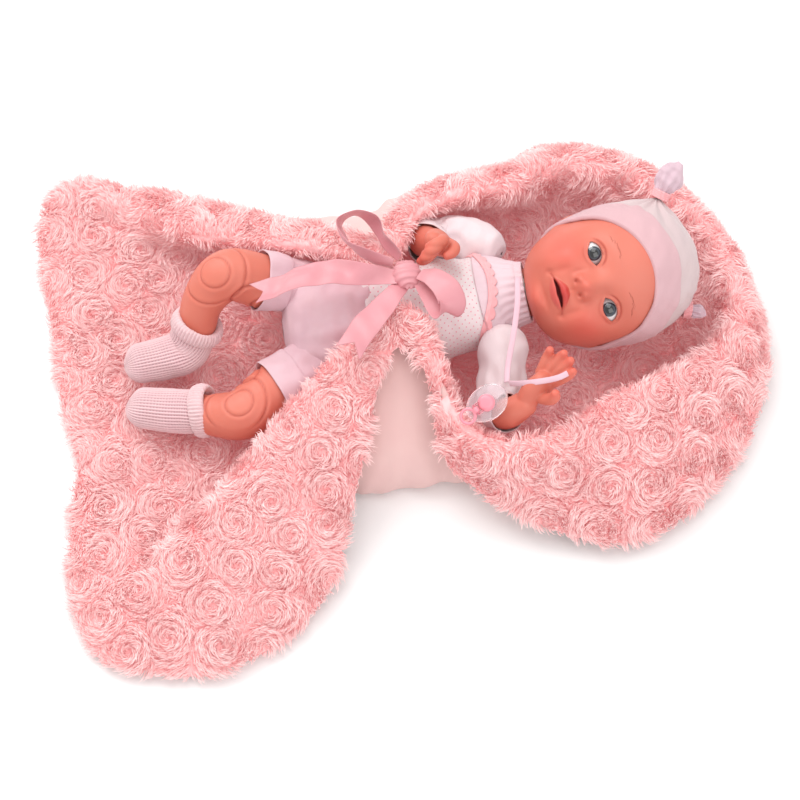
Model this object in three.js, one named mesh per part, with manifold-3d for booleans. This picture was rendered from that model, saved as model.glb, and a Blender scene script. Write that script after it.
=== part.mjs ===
// A baby doll with a sound module in its cloth body, on its back in a plush blanket tied with a satin bow.
// Millimetres. +X runs from the feet to the head, +Y to the doll's right side, +Z up.
// The origin is on the underside of the blanket, below the knot of the bow.
import * as THREE from "three";
import { mergeVertices } from "three/addons/utils/BufferGeometryUtils.js";
import Module from "manifold-3d";

const wasm = await Module();
wasm.setup();

// ---- Driving dimensions ----
const gap = 0.4; // between pieces that touch on the real object
const moveGap = 0.9; // between pieces that move past each other
const cloth = 1.6; // knitted jersey of the clothes
const liningThickness = 1.8;
const plushThickness = 7;
const headCentre = [121, -3, 58];
const headRadii = [50, 41, 43]; // crown to chin, ear to ear, face to back
const headShell = 3; // wall of the vinyl head
const headTurn = 32; // degrees towards the doll's left
const headTip = -5;
const headRoll = 8;
const eyeRadius = 8.5;
const eyePlace = [-11, 17.5, 29.5]; // in the head's own frame, the right one
const neckAxis = [66, -1, 48];
const neckRadius = 14.5;
const shoulderAxis = { right: [50, 33, 46], left: [50, -33, 46] };
const hipAxis = { right: [-64, 24, 43], left: [-64, -24, 38] };
const range = {
  neck: [-12, 12],
  right_arm: [0, 20],
  left_arm: [-10, 5],
  right_leg: [0, 20],
  left_leg: [0, 15],
};
const moduleCentre = [-12, 0, 35];
const moduleSize = [54, 40, 24];
const moduleWall = 1.6;
const buttonX = -14;
const buttonRadius = 7.5;
const buttonTravel = 2.5;
const switchTravel = 3;
const ribbonWidth = 16;
const ribbonThickness = 1;
const lanyardWidth = 4;

// ---- Colours ----
const skin = [0xe8876e, 0.5, 0];
const plushPink = [0xf7bcbc, 0.95, 0];
const liningPink = [0xf3dfe0, 0.9, 0];
const satin = [0xf4a6b8, 0.4, 0];
const jersey = [0xefe2ea, 0.9, 0];
const lilac = [0xe6cddc, 0.9, 0];
const wool = [0xf0dce4, 0.95, 0];
const trimPink = [0xf2a3a3, 0.9, 0];
const eyeBlue = [0x3d4652, 0.1, 0];
const whitePlastic = [0xe9e9e6, 0.5, 0];
const clearPlastic = [0xe9eef0, 0.15, 0];
const pinkPlastic = [0xf0a0a8, 0.35, 0];
const stuffing = [0xf1ede6, 0.95, 0];
const boardGreen = [0x2c6b45, 0.6, 0];
const steel = [0xb9bcc0, 0.35, 1];
const paperBlack = [0x2a2a2c, 0.8, 0];

// ---- Tools ----
const vec = (p) => new THREE.Vector3(p[0], p[1], p[2]);
const lerp = (a, b, t) => a + (b - a) * t;
const wrap = (i, n) => ((i % n) + n) % n;

// A closed geometry as a solid, placed by a matrix.
function solid(geometry, matrix = null) {
  const bare = (geometry.index ? geometry.toNonIndexed() : geometry.clone());
  bare.deleteAttribute("normal");
  bare.deleteAttribute("uv");
  if (matrix) bare.applyMatrix4(matrix);
  const merged = mergeVertices(bare, 1e-3);
  const points = merged.attributes.position.array;
  const triangles = new Uint32Array(merged.index.array);
  if (signedVolume(points, triangles) < 0) {
    for (let i = 0; i < triangles.length; i += 3) {
      [triangles[i + 1], triangles[i + 2]] = [triangles[i + 2], triangles[i + 1]];
    }
  }
  return new wasm.Manifold(new wasm.Mesh({ numProp: 3, vertProperties: points, triVerts: triangles }));
}

function signedVolume(points, triangles) {
  let volume = 0;
  const a = new THREE.Vector3();
  const b = new THREE.Vector3();
  const c = new THREE.Vector3();
  for (let i = 0; i < triangles.length; i += 3) {
    a.fromArray(points, 3 * triangles[i]);
    b.fromArray(points, 3 * triangles[i + 1]);
    c.fromArray(points, 3 * triangles[i + 2]);
    volume += a.dot(b.cross(c)) / 6;
  }
  return volume;
}

function geometryOf(shape) {
  const mesh = shape.getMesh();
  const geometry = new THREE.BufferGeometry();
  geometry.setAttribute("position", new THREE.BufferAttribute(new Float32Array(mesh.vertProperties), 3));
  geometry.setIndex(new THREE.BufferAttribute(new Uint32Array(mesh.triVerts), 1));
  return geometry;
}

const join = (shapes) => shapes.reduce((all, next) => all.add(next));
const largest = (shape) => shape.decompose().reduce((a, b) => (b.volume() > a.volume() ? b : a));
const shift = (x, y, z) => new THREE.Matrix4().makeTranslation(x, y, z);

function box(size, at) {
  return solid(new THREE.BoxGeometry(...size), shift(...at));
}

// A cylinder with its axis along "x", "y" or "z".
function rod(radius, length, at, axis = "z", sides = 16) {
  const turn = new THREE.Matrix4();
  if (axis === "z") turn.makeRotationX(Math.PI / 2);
  if (axis === "x") turn.makeRotationZ(Math.PI / 2);
  return solid(new THREE.CylinderGeometry(radius, radius, length, sides), shift(...at).multiply(turn));
}

function ball(radii, at, around = 16, down = 10, turn = null) {
  const matrix = shift(...at);
  if (turn) matrix.multiply(turn);
  matrix.multiply(new THREE.Matrix4().makeScale(...radii));
  return solid(new THREE.SphereGeometry(1, around, down), matrix);
}

// A turned shape about +Z from points [radius, height] in millimetres.
function lathe(points, matrix, sides = 24) {
  const turned = new THREE.LatheGeometry(points.map((p) => new THREE.Vector2(p[0], p[1])), sides);
  return solid(turned, matrix.clone().multiply(new THREE.Matrix4().makeRotationX(Math.PI / 2)));
}

// The half of space on one side of a plane, as a large box: normal points into it.
function halfSpace(at, normal) {
  const turn = new THREE.Quaternion().setFromUnitVectors(new THREE.Vector3(0, 0, 1), vec(normal).normalize());
  const matrix = new THREE.Matrix4().compose(vec(at), turn, new THREE.Vector3(1, 1, 1));
  return solid(new THREE.BoxGeometry(900, 900, 900), matrix.multiply(shift(0, 0, 450)));
}

// Where a row of a limb lies along its path: two rows round each end, and even steps between the ends.
function rowDistance(row, rows, length, startCap, endCap) {
  const capRows = 2;
  if (row < capRows) return -startCap * Math.cos((Math.PI / 2) * (row / capRows));
  if (row > rows - capRows) return length + endCap * Math.cos((Math.PI / 2) * ((rows - row) / capRows));
  return (length * (row - capRows)) / (rows - 2 * capRows);
}

// A round-ended body along a smooth path: stations are [x, y, z, half width, half height].
function limb(stations, grow = 0, around = 14, along = 14, upHint = [0, 0, 1]) {
  const centres = new THREE.CatmullRomCurve3(stations.map(vec), false, "centripetal");
  const radii = new THREE.CatmullRomCurve3(
    stations.map((s) => new THREE.Vector3(s[3] + grow, (s[4] ?? s[3]) + grow, 0)),
    false,
    "centripetal",
  );
  const length = centres.getLength();
  const startCap = radii.getPoint(0).y;
  const endCap = radii.getPoint(1).y;
  const shape = new THREE.SphereGeometry(1, around, along);
  const place = shape.attributes.position;
  for (let row = 0; row <= along; row++) {
    const distance = rowDistance(row, along, length, startCap, endCap);
    const u = Math.min(1, Math.max(0, distance / length));
    const past = distance < 0 ? distance / startCap : Math.max(0, (distance - length) / endCap);
    const shrink = Math.sqrt(Math.max(0, 1 - past * past));
    const tangent = centres.getTangent(u);
    const centre = centres.getPoint(u);
    if (distance < 0) centre.addScaledVector(tangent, distance);
    if (distance > length) centre.addScaledVector(tangent, distance - length);
    const side = vec(upHint).cross(tangent).normalize();
    const up = tangent.clone().cross(side);
    const radius = radii.getPoint(u);
    for (let column = 0; column <= around; column++) {
      const angle = (2 * Math.PI * wrap(column, around)) / around;
      const ends = row === 0 || row === along;
      const out = ends ? 0 : shrink;
      const point = centre.clone();
      point.addScaledVector(side, Math.cos(angle) * radius.x * out);
      point.addScaledVector(up, Math.sin(angle) * radius.y * out);
      place.setXYZ(row * (around + 1) + column, point.x, point.y, point.z);
    }
  }
  return solid(shape);
}

// A flat band along a smooth path: each point is [x, y, z], each across is the direction of its width.
function band(points, across, width, thickness, steps) {
  const line = new THREE.CatmullRomCurve3(points.map(vec), false, "centripetal");
  const turns = new THREE.CatmullRomCurve3(across.map(vec), false, "centripetal");
  const shape = new THREE.BoxGeometry(1, 1, 1, steps, 1, 1);
  const place = shape.attributes.position;
  for (let i = 0; i < place.count; i++) {
    const u = Math.round((place.getX(i) + 0.5) * steps) / steps;
    const tangent = line.getTangent(u);
    const wide = turns.getPoint(u);
    wide.addScaledVector(tangent, -wide.dot(tangent)).normalize();
    const thick = tangent.clone().cross(wide);
    const point = line.getPoint(u);
    point.addScaledVector(wide, place.getY(i) * width);
    point.addScaledVector(thick, place.getZ(i) * thickness);
    place.setXYZ(i, point.x, point.y, point.z);
  }
  return solid(shape);
}

// Copies of a shape turned about an axis over a joint's range, joined: the room that it needs to move.
function swept(shape, pivot, axis, degrees, steps = 3) {
  const copies = [];
  for (let i = 0; i <= steps; i++) {
    const angle = THREE.MathUtils.degToRad(lerp(degrees[0], degrees[1], i / steps));
    const turn = new THREE.Matrix4().makeRotationAxis(vec(axis), angle);
    const matrix = shift(...pivot).multiply(turn).multiply(shift(...pivot.map((v) => -v)));
    copies.push(solid(geometryOf(shape), matrix));
  }
  return join(copies);
}

const nodes = new Map();

function add(name, shape, look) {
  const whole = largest(shape);
  nodes.set(name, { shape: whole, look });
  return whole;
}

// ---- Blanket: one quilted sheet, plush inside and lining outside ----
// Each station runs from the middle of the floor out to the hem: where the wall starts on the floor, the
// fold at the top of the wall, and the hem that the fold turns out and down to. The last numbers bow the
// wall out and raise the lap.
const blanketMiddle = [-8, -9];
const blanketStations = [
  // foot x, y; fold x, y, z; hem x, y, z; bow, lap
  [[-172, -6], [-200, -14, 3], [-217, -21, 1], 0, 1],
  [[-168, -48], [-192, -58, 6], [-210, -55, 2], 0, 3],
  [[-165, -84], [-196, -108, 10], [-223, -114, 2], 0, 3],
  [[-160, -98], [-190, -140, 16], [-216, -172, 2], 2, 4],
  [[-148, -96], [-168, -135, 24], [-190, -187, 2], 3, 5],
  [[-132, -90], [-146, -114, 30], [-143, -196, 2], 3, 8],
  [[-114, -84], [-117, -90, 40], [-84, -166, 3], 2, 9],
  [[-90, -84], [-90, -66, 51], [-66, -132, 12], 3, 8],
  [[-62, -94], [-62, -43, 61], [-50, -98, 30], 6, 6],
  [[-34, -102], [-34, -28, 71], [-34, -60, 54], 13, 4],
  [[-4, -100], [-9, -19, 77], [-14, -35, 72], 15, 2],
  [[18, -104], [4, -45, 70], [2, -66, 60], 10, 3],
  [[30, -112], [10, -82, 62], [5, -101, 38], 4, 4],
  [[42, -122], [34, -106, 56], [26, -120, 24], 3, 4],
  [[62, -130], [70, -100, 52], [56, -138, 12], 3, 8],
  [[92, -122], [104, -84, 50], [94, -153, 6], 2, 14],
  [[122, -104], [134, -72, 46], [136, -142, 4], 2, 14],
  [[148, -76], [166, -58, 42], [178, -106, 4], 2, 10],
  [[168, -48], [188, -44, 38], [204, -62, 5], 2, 5],
  [[175, -14], [196, -20, 38], [209, -28, 7], 2, 4],
  [[172, 18], [193, 20, 37], [204, 22, 8], 2, 4],
  [[156, 46], [176, 52, 37], [188, 60, 8], 2, 4],
  [[136, 66], [150, 76, 37], [160, 98, 6], 2, 6],
  [[104, 78], [108, 86, 42], [114, 118, 6], 2, 7],
  [[66, 82], [66, 72, 52], [71, 106, 10], 4, 6],
  [[36, 92], [30, 66, 60], [33, 92, 26], 10, 4],
  [[6, 94], [4, 48, 69], [6, 68, 52], 16, 3],
  [[-14, 89], [-12, 17, 77], [-16, 34, 70], 17, 2],
  [[-42, 92], [-42, 33, 70], [-42, 53, 56], 11, 3],
  [[-72, 96], [-76, 50, 60], [-70, 74, 38], 5, 4],
  [[-102, 90], [-112, 68, 44], [-106, 102, 20], 4, 5],
  [[-130, 84], [-142, 92, 30], [-138, 124, 8], 3, 5],
  [[-158, 84], [-172, 116, 16], [-170, 136, 3], 2, 4],
  [[-172, 78], [-198, 128, 6], [-212, 146, 2], 0, 3],
  [[-176, 36], [-204, 48, 3], [-218, 50, 1], 0, 2],
];
const blanketColumns = 44;
const blanketRings = 9;
const liningUnder = liningThickness + gap / 2; // the height of the face between the two layers on the floor

// The nine points of a station's curve, from the middle of the floor to the hem.
function stationCurve([foot, fold, hem, bow, lap]) {
  const base = new THREE.Vector3(foot[0], foot[1], 0);
  const top = vec(fold);
  const end = vec(hem);
  const middle = new THREE.Vector3(blanketMiddle[0], blanketMiddle[1], 0);
  const out = base.clone().sub(middle).setZ(0).normalize();
  const spine = new THREE.Vector3(lerp(middle.x, foot[0], 0.62), lerp(middle.y, foot[1], 0.3), 0);
  const wall = base.clone().lerp(top, 0.5).addScaledVector(out, bow);
  const inner = top.clone().addScaledVector(out, -3);
  inner.z -= Math.min(3, top.z * 0.1);
  const outer = top.clone().lerp(end, 0.2);
  outer.z = Math.max(outer.z, top.z - 3) + lap * 0.2;
  const lapHigh = top.clone().lerp(end, 0.5);
  lapHigh.z += lap;
  const lapLow = top.clone().lerp(end, 0.8);
  lapLow.z += lap * 0.8;
  return [middle, spine, base, wall, inner, outer, lapHigh, lapLow, end];
}

const stationCurves = blanketStations.map(stationCurve);
const curveLength = stationCurves[0].length;

// The rings across all stations, as smooth closed loops, and a column's own curve taken from them.
const ringLoops = [];
for (let k = 1; k < curveLength; k++) {
  ringLoops.push(new THREE.CatmullRomCurve3(stationCurves.map((curve) => curve[k]), true, "centripetal"));
}
const columnCurves = [];
for (let i = 0; i < blanketColumns; i++) {
  const across = ringLoops.map((loop) => loop.getPoint(i / blanketColumns));
  columnCurves.push(new THREE.CatmullRomCurve3([stationCurves[0][0], ...across], false, "centripetal"));
}

function blanketPoint(column, t) {
  const point = columnCurves[wrap(column, blanketColumns)].getPoint(Math.min(1, Math.max(0, t)));
  point.z = Math.max(point.z, 0) + liningUnder;
  return point;
}

// The direction out of the plush side at a point of the sheet.
function blanketNormal(column, t) {
  const step = 0.5 / blanketRings;
  const inward = blanketPoint(column, t - step);
  const outward = blanketPoint(column, t + step);
  const along = outward.sub(inward);
  const around = blanketPoint(column + 1, t).sub(blanketPoint(column - 1, t));
  const normal = along.cross(around);
  if (normal.length() < 1e-6) return new THREE.Vector3(0, 0, 1);
  return normal.normalize();
}

// Both sides of a layer split their squares along the same diagonal, so that the two layers stay parallel.
function layerTriangles(rows) {
  const triangles = [];
  for (let row = 0; row < rows; row++) {
    for (let column = 0; column < blanketColumns; column++) {
      const b = row * (blanketColumns + 1) + column;
      const [a, c, d] = [b + 1, b + blanketColumns + 1, b + blanketColumns + 2];
      const upper = row < rows / 2;
      if (row === 0) triangles.push(b, c, d);
      else if (row === rows - 1) triangles.push(a, b, c);
      else if (upper) triangles.push(a, b, d, b, c, d);
      else triangles.push(a, b, c, a, c, d);
    }
  }
  return triangles;
}

// One layer of the blanket between two distances from the face where the layers meet.
function blanketLayer(near, far) {
  const rows = 2 * blanketRings + 2;
  const shape = new THREE.SphereGeometry(1, blanketColumns, rows);
  const place = shape.attributes.position;
  for (let row = 0; row <= rows; row++) {
    const ring = row <= blanketRings ? row : row === blanketRings + 1 ? blanketRings : rows - row;
    const height = row <= blanketRings ? far : row === blanketRings + 1 ? (near + far) / 2 : near;
    for (let column = 0; column <= blanketColumns; column++) {
      const t = ring / blanketRings;
      const point = blanketPoint(column, t);
      const normal = ring === 0 ? new THREE.Vector3(0, 0, 1) : blanketNormal(column, t);
      point.addScaledVector(normal, height);
      if (row === blanketRings + 1) {
        const before = blanketPoint(column, t - 0.02);
        point.addScaledVector(blanketPoint(column, t).sub(before).normalize(), 1);
      }
      place.setXYZ(row * (blanketColumns + 1) + column, point.x, point.y, Math.max(point.z, 0));
    }
  }
  shape.setIndex(layerTriangles(rows));
  return solid(shape);
}

const blanketLining = blanketLayer(-gap / 2 - liningThickness, -gap / 2);
const plushSheet = blanketLayer(gap / 2, gap / 2 + plushThickness);

// ---- Body, arms and legs ----
const bodyStations = [
  [-56, 0, 39, 33, 24],
  [-34, 0, 40, 35, 27],
  [-8, 0, 40, 31, 27],
  [20, 0, 40, 27.5, 26],
  [42, 0, 42, 26.5, 22],
  [50, 0, 44, 22, 16],
];
const armStations = {
  right: [
    [50, 36, 46, 12, 12],
    [37, 45, 44, 11.5, 11.5],
    [24, 48, 43.5, 11, 11],
    [15, 44, 50, 10.3, 10.3],
    [13, 36, 60, 9.5, 9.5],
    [17, 27, 73, 7.6, 7.6],
  ],
  left: [
    [50, -36, 46, 12, 12],
    [44, -54, 43, 11.5, 11.5],
    [40, -67, 42.5, 10.6, 10.6],
    [38, -77, 47, 9.8, 9.8],
    [42, -84, 55, 9, 9],
    [52, -83, 63, 7.6, 7.6],
  ],
};
const legStations = {
  right: [
    [-64, 24, 43, 14, 14],
    [-88, 27, 56, 16, 16],
    [-109, 29, 65, 15.5, 15.5],
    [-124, 22, 54, 13, 13],
    [-133, 10, 38, 10.5, 10.5],
  ],
  left: [
    [-64, -24, 38, 14, 14],
    [-86, -35, 38, 16, 16],
    [-109, -49, 35, 15.5, 15.5],
    [-126, -46, 31, 13, 13],
    [-138, -40, 27, 10.5, 10.5],
  ],
};
const footStations = {
  right: [
    [-132, 4, 27, 10, 10],
    [-150, 1, 25, 10.5, 10],
    [-168, -1, 27, 11, 8.5],
  ],
  left: [
    [-140, -38, 24, 10, 10],
    [-156, -34, 23.5, 10.5, 10],
    [-170, -31, 25, 11, 8.5],
  ],
};

// Palm: centre, half sizes. Fingers: knuckle, bend and tip of each, then the radius.
const hands = {
  right: {
    palm: [[18, 23, 80], [17, 18, 87]],
    palmSize: [9, 6.5],
    fingers: [
      [[22, 18, 93], [17, 13, 97], [10, 11, 94]],
      [[19, 14, 92], [13, 9, 95], [7, 8, 91]],
      [[15, 12, 90], [9, 7, 92], [5, 7, 88]],
      [[12, 12, 87], [7, 8, 88], [4, 9, 85]],
    ],
    thumb: [[24, 15, 87], [24, 9, 90], [20, 5, 91]],
    fingerRadius: 3,
  },
  left: {
    palm: [[55, -80, 67], [64, -76, 76]],
    palmSize: [8.5, 6],
    fingers: [
      [[63, -69, 77], [67, -65, 84], [68, -63, 91]],
      [[68, -71, 79], [73, -68, 86], [77, -67, 92]],
      [[71, -75, 78], [77, -73, 85], [80, -72, 91]],
      [[71, -80, 77], [76, -79, 83], [80, -79, 88]],
    ],
    thumb: [[63, -85, 72], [66, -90, 79], [67, -91, 85]],
    fingerRadius: 3,
  },
};

const palmShape = (side, grow) =>
  limb(hands[side].palm.map((p) => [...p, ...hands[side].palmSize]), grow, 8, 6);

function handShape(side, grow) {
  const { fingers, thumb, fingerRadius } = hands[side];
  const shapes = [palmShape(side, grow)];
  for (const finger of [...fingers, thumb]) {
    shapes.push(limb(finger.map((p) => [...p, fingerRadius]), grow, 5, 5));
  }
  return join(shapes);
}

// Across the plane that each arm bends in.
const armUp = { right: [0.4, 0.6, 0.4], left: [-0.6, 0.1, 0.7] };
const armTube = (side, grow) => limb(armStations[side], grow, 10, 10, armUp[side]);
const armShape = (side, grow) => armTube(side, grow).add(handShape(side, grow));
const legTube = (side, grow) => limb(legStations[side], grow, 12, 9);
const footTube = (side, grow) => limb(footStations[side], grow, 10, 6);
const legShape = (side, grow) => legTube(side, grow).add(footTube(side, grow));
const sleeveShape = (side, grow) => limb(armStations[side].slice(0, 5), grow, 10, 8, armUp[side]);
const shortsLegShape = (side, grow) => limb(legStations[side].slice(0, 2), grow, 12, 6);
const bodyShape = (grow) => limb(bodyStations, grow, 18, 10);

const yAxis = [0, 1, 0];
const xAxis = [1, 0, 0];
const sides = ["right", "left"];

// The room that each limb needs through its whole range: a little more round the part with clothes on.
const clothedGrow = gap + cloth + moveGap + 0.6;
const bareGrow = moveGap + 0.3;
const jointWidth = 32;
const shoulderInner = 22;
const hipInner = 7;
const jointRooms = [];
const limbRooms = [];
for (const side of sides) {
  const outward = side === "right" ? 1 : -1;
  const shoulder = shoulderAxis[side];
  const hip = hipAxis[side];
  const shoulderY = outward * (shoulderInner + jointWidth / 2);
  const hipY = outward * (hipInner + jointWidth / 2);
  const shoulderRoom = armStations[side][0][3] + clothedGrow;
  const hipRoom = legStations[side][0][3] + clothedGrow + 1.5;
  jointRooms.push(rod(shoulderRoom, jointWidth, [shoulder[0], shoulderY, shoulder[2]], "y", 16));
  jointRooms.push(rod(hipRoom, jointWidth, [hip[0], hipY, hip[2]], "y", 16));
  const sleeve = limb(armStations[side].slice(0, 5), clothedGrow, 10, 8, armUp[side]);
  const hand = limb(armStations[side].slice(4).concat([[...hands[side].palm[1], 11, 9]]), bareGrow, 8, 7);
  limbRooms.push(swept(sleeve.add(hand), shoulder, yAxis, range[side + "_arm"], 2));
  const thigh = limb(legStations[side].slice(0, 4), clothedGrow, 10, 9);
  const foot = limb(footStations[side], clothedGrow, 8, 6);
  const cuff = limb(legStations[side].slice(3), clothedGrow + 3, 8, 5);
  limbRooms.push(swept(join([thigh, foot, cuff]), hip, yAxis, range[side + "_leg"], 1));
}
const jointRoom = join(jointRooms);
const limbRoom = join(limbRooms);

// ---- Sound module in the pocket of the body ----
const moduleAt = (x, y, z) => [moduleCentre[0] + x, moduleCentre[1] + y, moduleCentre[2] + z];
const [moduleX, moduleY, moduleZ] = moduleSize;
const innerX = moduleX - 2 * moduleWall;
const innerY = moduleY - 2 * moduleWall;
const halfZ = moduleZ / 2;
const doorSize = [40, 16];
const doorY = -7;
const switchY = 11;
const cornerX = moduleX / 2 - 5;
const cornerY = moduleY / 2 - 5;
const corners = [[cornerX, cornerY], [-cornerX, cornerY], [cornerX, -cornerY], [-cornerX, -cornerY]];
const speakerX = 11;
const speakerRadius = 12;
const screwHead = [2.2, 1.2]; // radius and height
const screwRadius = 1.1;
const pilotRadius = 1.5;

function tray(bottom, top, openUp) {
  const outer = box([moduleX, moduleY, top - bottom], moduleAt(0, 0, (top + bottom) / 2));
  const floor = openUp ? bottom + moduleWall : bottom - moduleWall;
  const roof = openUp ? top + moduleWall : top - moduleWall;
  return outer.subtract(box([innerX, innerY, roof - floor], moduleAt(0, 0, (roof + floor) / 2)));
}

let rearHousing = tray(-halfZ, -gap / 2, true);
let frontHousing = tray(gap / 2, halfZ, false);
for (const [x, y] of [corners[0], corners[3]]) {
  rearHousing = rearHousing.add(rod(3, halfZ - 1, moduleAt(x, y, -halfZ / 2 - 0.4), "z", 8));
  rearHousing = rearHousing.subtract(rod(pilotRadius, halfZ + 2, moduleAt(x, y, -halfZ / 2), "z", 8));
  rearHousing = rearHousing.subtract(rod(2.7, 2, moduleAt(x, y, -halfZ + 0.6), "z", 8));
  frontHousing = frontHousing.add(rod(3, halfZ - 1, moduleAt(x, y, halfZ / 2 + 0.4), "z", 8));
  frontHousing = frontHousing.subtract(rod(pilotRadius, halfZ - 3, moduleAt(x, y, (halfZ - 3) / 2), "z", 8));
}
rearHousing = rearHousing.subtract(box([...doorSize, 3 * moduleWall], moduleAt(0, doorY, -halfZ)));
const switchSlot = [8 + switchTravel, 3.6, 3 * moduleWall];
rearHousing = rearHousing.subtract(box(switchSlot, moduleAt(0, switchY, -halfZ)));
frontHousing = frontHousing.subtract(rod(buttonRadius + 0.5, 8, moduleAt(buttonX, 0, halfZ)));
for (let slot = -2; slot <= 2; slot++) {
  const slotLength = 18 - 3 * Math.abs(slot);
  frontHousing = frontHousing.subtract(box([1.6, slotLength, 8], moduleAt(speakerX + 3.6 * slot, 0, halfZ)));
}
add("module_rear_housing", rearHousing, whitePlastic);
add("module_front_housing", frontHousing, whitePlastic);

const screwLength = 15;
const screwCorners = [corners[0], corners[3]];
screwCorners.forEach(([x, y], i) => {
  const head = rod(screwHead[0], screwHead[1], moduleAt(x, y, -halfZ + 0.9), "z", 10);
  const shaft = rod(screwRadius, screwLength, moduleAt(x, y, -halfZ + 1.2 + screwLength / 2), "z", 8);
  add("housing_screw_" + (i + 1), head.add(shaft), steel);
});

const boardZ = -2.6;
const boardThickness = 1.2;
let board = box([innerX - 1, innerY - 1, boardThickness], moduleAt(0, 0, boardZ));
for (const [x, y] of corners) {
  board = board.subtract(box([8.6, 8.6, 4], moduleAt(x * 1.05, y * 1.08, boardZ)));
}
add("circuit_board", board, boardGreen);
const boardTop = boardZ + boardThickness / 2 + 0.3;
add("tact_switch", box([5, 5, 3], moduleAt(buttonX, 0, boardTop + 1.5)), paperBlack);

const cellRadius = 5.8;
const cellHeight = 5.4;
for (let i = 0; i < 3; i++) {
  const x = (i - 1) * (2 * cellRadius + 0.7);
  add("button_cell_" + (i + 1), rod(cellRadius, cellHeight, moduleAt(x, doorY, -7), "z", 16), steel);
}
const doorScrewX = 17;
const doorPlateSize = [doorSize[0] - 2 * gap, doorSize[1] - 2 * gap, moduleWall];
const doorPlate = box(doorPlateSize, moduleAt(0, doorY, -halfZ + moduleWall / 2));
const doorHole = rod(1.5, 6, moduleAt(doorScrewX, doorY + 5.6, -halfZ), "z", 10);
add("battery_door", doorPlate.subtract(doorHole), whitePlastic);
const doorScrew = rod(screwRadius, 4, moduleAt(doorScrewX, doorY + 5.6, -halfZ + 1.6), "z", 8);
const doorScrewHead = rod(screwHead[0], 0.8, moduleAt(doorScrewX, doorY + 5.6, -halfZ - 0.75), "z", 10);
add("door_screw", doorScrew.add(doorScrewHead), steel);

const knob = box([4, 3, 3], moduleAt(-switchTravel / 2, switchY, -halfZ + 0.9));
const slider = box([9, 6, 1.2], moduleAt(-switchTravel / 2, switchY, -halfZ + moduleWall + 0.9));
add("power_switch", knob.add(slider), paperBlack);

const flangeTop = halfZ - moduleWall - 0.4;
const buttonCap = rod(buttonRadius, buttonTravel + 3.9, moduleAt(buttonX, 0, halfZ - 0.2));
const buttonFlange = rod(buttonRadius + 1.8, 1.4, moduleAt(buttonX, 0, flangeTop - 0.7));
const springTop = flangeTop - 1.4 - 0.3;
add("push_button", buttonCap.add(buttonFlange), pinkPlastic);

// The button's coil spring, standing on the board round the tact switch.
const springTurns = 3;
const springRadius = 5;
const wireRadius = 0.4;
class Helix extends THREE.Curve {
  getPoint(t) {
    const angle = 2 * Math.PI * springTurns * t;
    const rise = lerp(boardTop + wireRadius, springTop - wireRadius, t);
    const across = [springRadius * Math.cos(angle), springRadius * Math.sin(angle)];
    return vec(moduleAt(buttonX + across[0], across[1], rise));
  }
}
const wireSides = 3;
const circle = (radius) => new THREE.Shape().absarc(0, 0, radius, 0, 2 * Math.PI);

function wire(path, radius, steps) {
  const settings = { steps, curveSegments: wireSides, bevelEnabled: false, extrudePath: path };
  return solid(new THREE.ExtrudeGeometry(circle(radius), settings));
}

add("button_spring", wire(new Helix(), wireRadius, 26), steel);

const speakerFront = halfZ - moduleWall - 0.4;
const speakerProfile = [
  [0, -4],
  [6, -4],
  [speakerRadius, -0.8],
  [speakerRadius, 0],
  [speakerRadius - 1.5, 0],
  [5, -2.6],
  [0, -2.6],
];
const speakerPlace = shift(...moduleAt(speakerX, 0, speakerFront));
add("speaker_cone", lathe(speakerProfile, speakerPlace, 20), paperBlack);
add("speaker_magnet", rod(5, 3, moduleAt(speakerX, 0, speakerFront - 4 - 0.3 - 1.5), "z", 14), steel);
for (const [i, y] of [[1, 5], [2, -5]]) {
  const lead = new THREE.CatmullRomCurve3([
    vec(moduleAt(speakerX - 7, y, boardTop + 0.4)),
    vec(moduleAt(speakerX - 8, y, boardTop + 3)),
    vec(moduleAt(speakerX - 2, y * 1.4, speakerFront - 5)),
  ]);
  add("speaker_lead_" + i, wire(lead, 0.5, 8), i === 1 ? trimPink : paperBlack);
}

// ---- Cloth body with its pocket, and the neck ----
const pocketTop = moduleCentre[2] + halfZ + 4.2;
const pocketGap = 0.6;
const pocketSize = [moduleX + 2 * pocketGap, moduleY + 2 * pocketGap, pocketTop];
const pocketRoom = box(pocketSize, [moduleCentre[0], moduleCentre[1], pocketTop / 2]);
const neckStart = 48;
const neckEnd = 84;
const alongNeck = (x) => [x, neckAxis[1], neckAxis[2]];
const neckMiddle = (neckStart + neckEnd) / 2;
const neckRoom = rod(neckRadius + gap, neckEnd - neckStart + 2, alongNeck(neckMiddle - 0.5), "x");
const bodyCloth = bodyShape(0).subtract(pocketRoom).subtract(neckRoom).subtract(jointRoom);
add("body_cloth", bodyCloth, stuffing);
const flapZ = moduleCentre[2] - halfZ - 2.2;
add("pocket_flap", box([40, 24, 1], [moduleCentre[0], moduleCentre[1], flapZ]), stuffing);

const plugFlange = rod(neckRadius + 3, 2.6, alongNeck(neckEnd - 1.3), "x");
const plug = rod(neckRadius, neckEnd - neckStart, alongNeck(neckMiddle), "x");
add("neck_plug", plug.add(plugFlange), skin);
const tieRing = new THREE.TorusGeometry(neckRadius + 1.7, 1.1, 5, 16);
const tieTurn = new THREE.Matrix4().makeRotationY(Math.PI / 2);
const tiePlace = shift(...alongNeck(64.6)).multiply(tieTurn);
add("neck_tie", solid(tieRing, tiePlace), whitePlastic);

for (const side of sides) {
  add("arm_" + side, armShape(side, 0), skin);
  add("leg_" + side, legShape(side, 0), skin);
}

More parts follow.
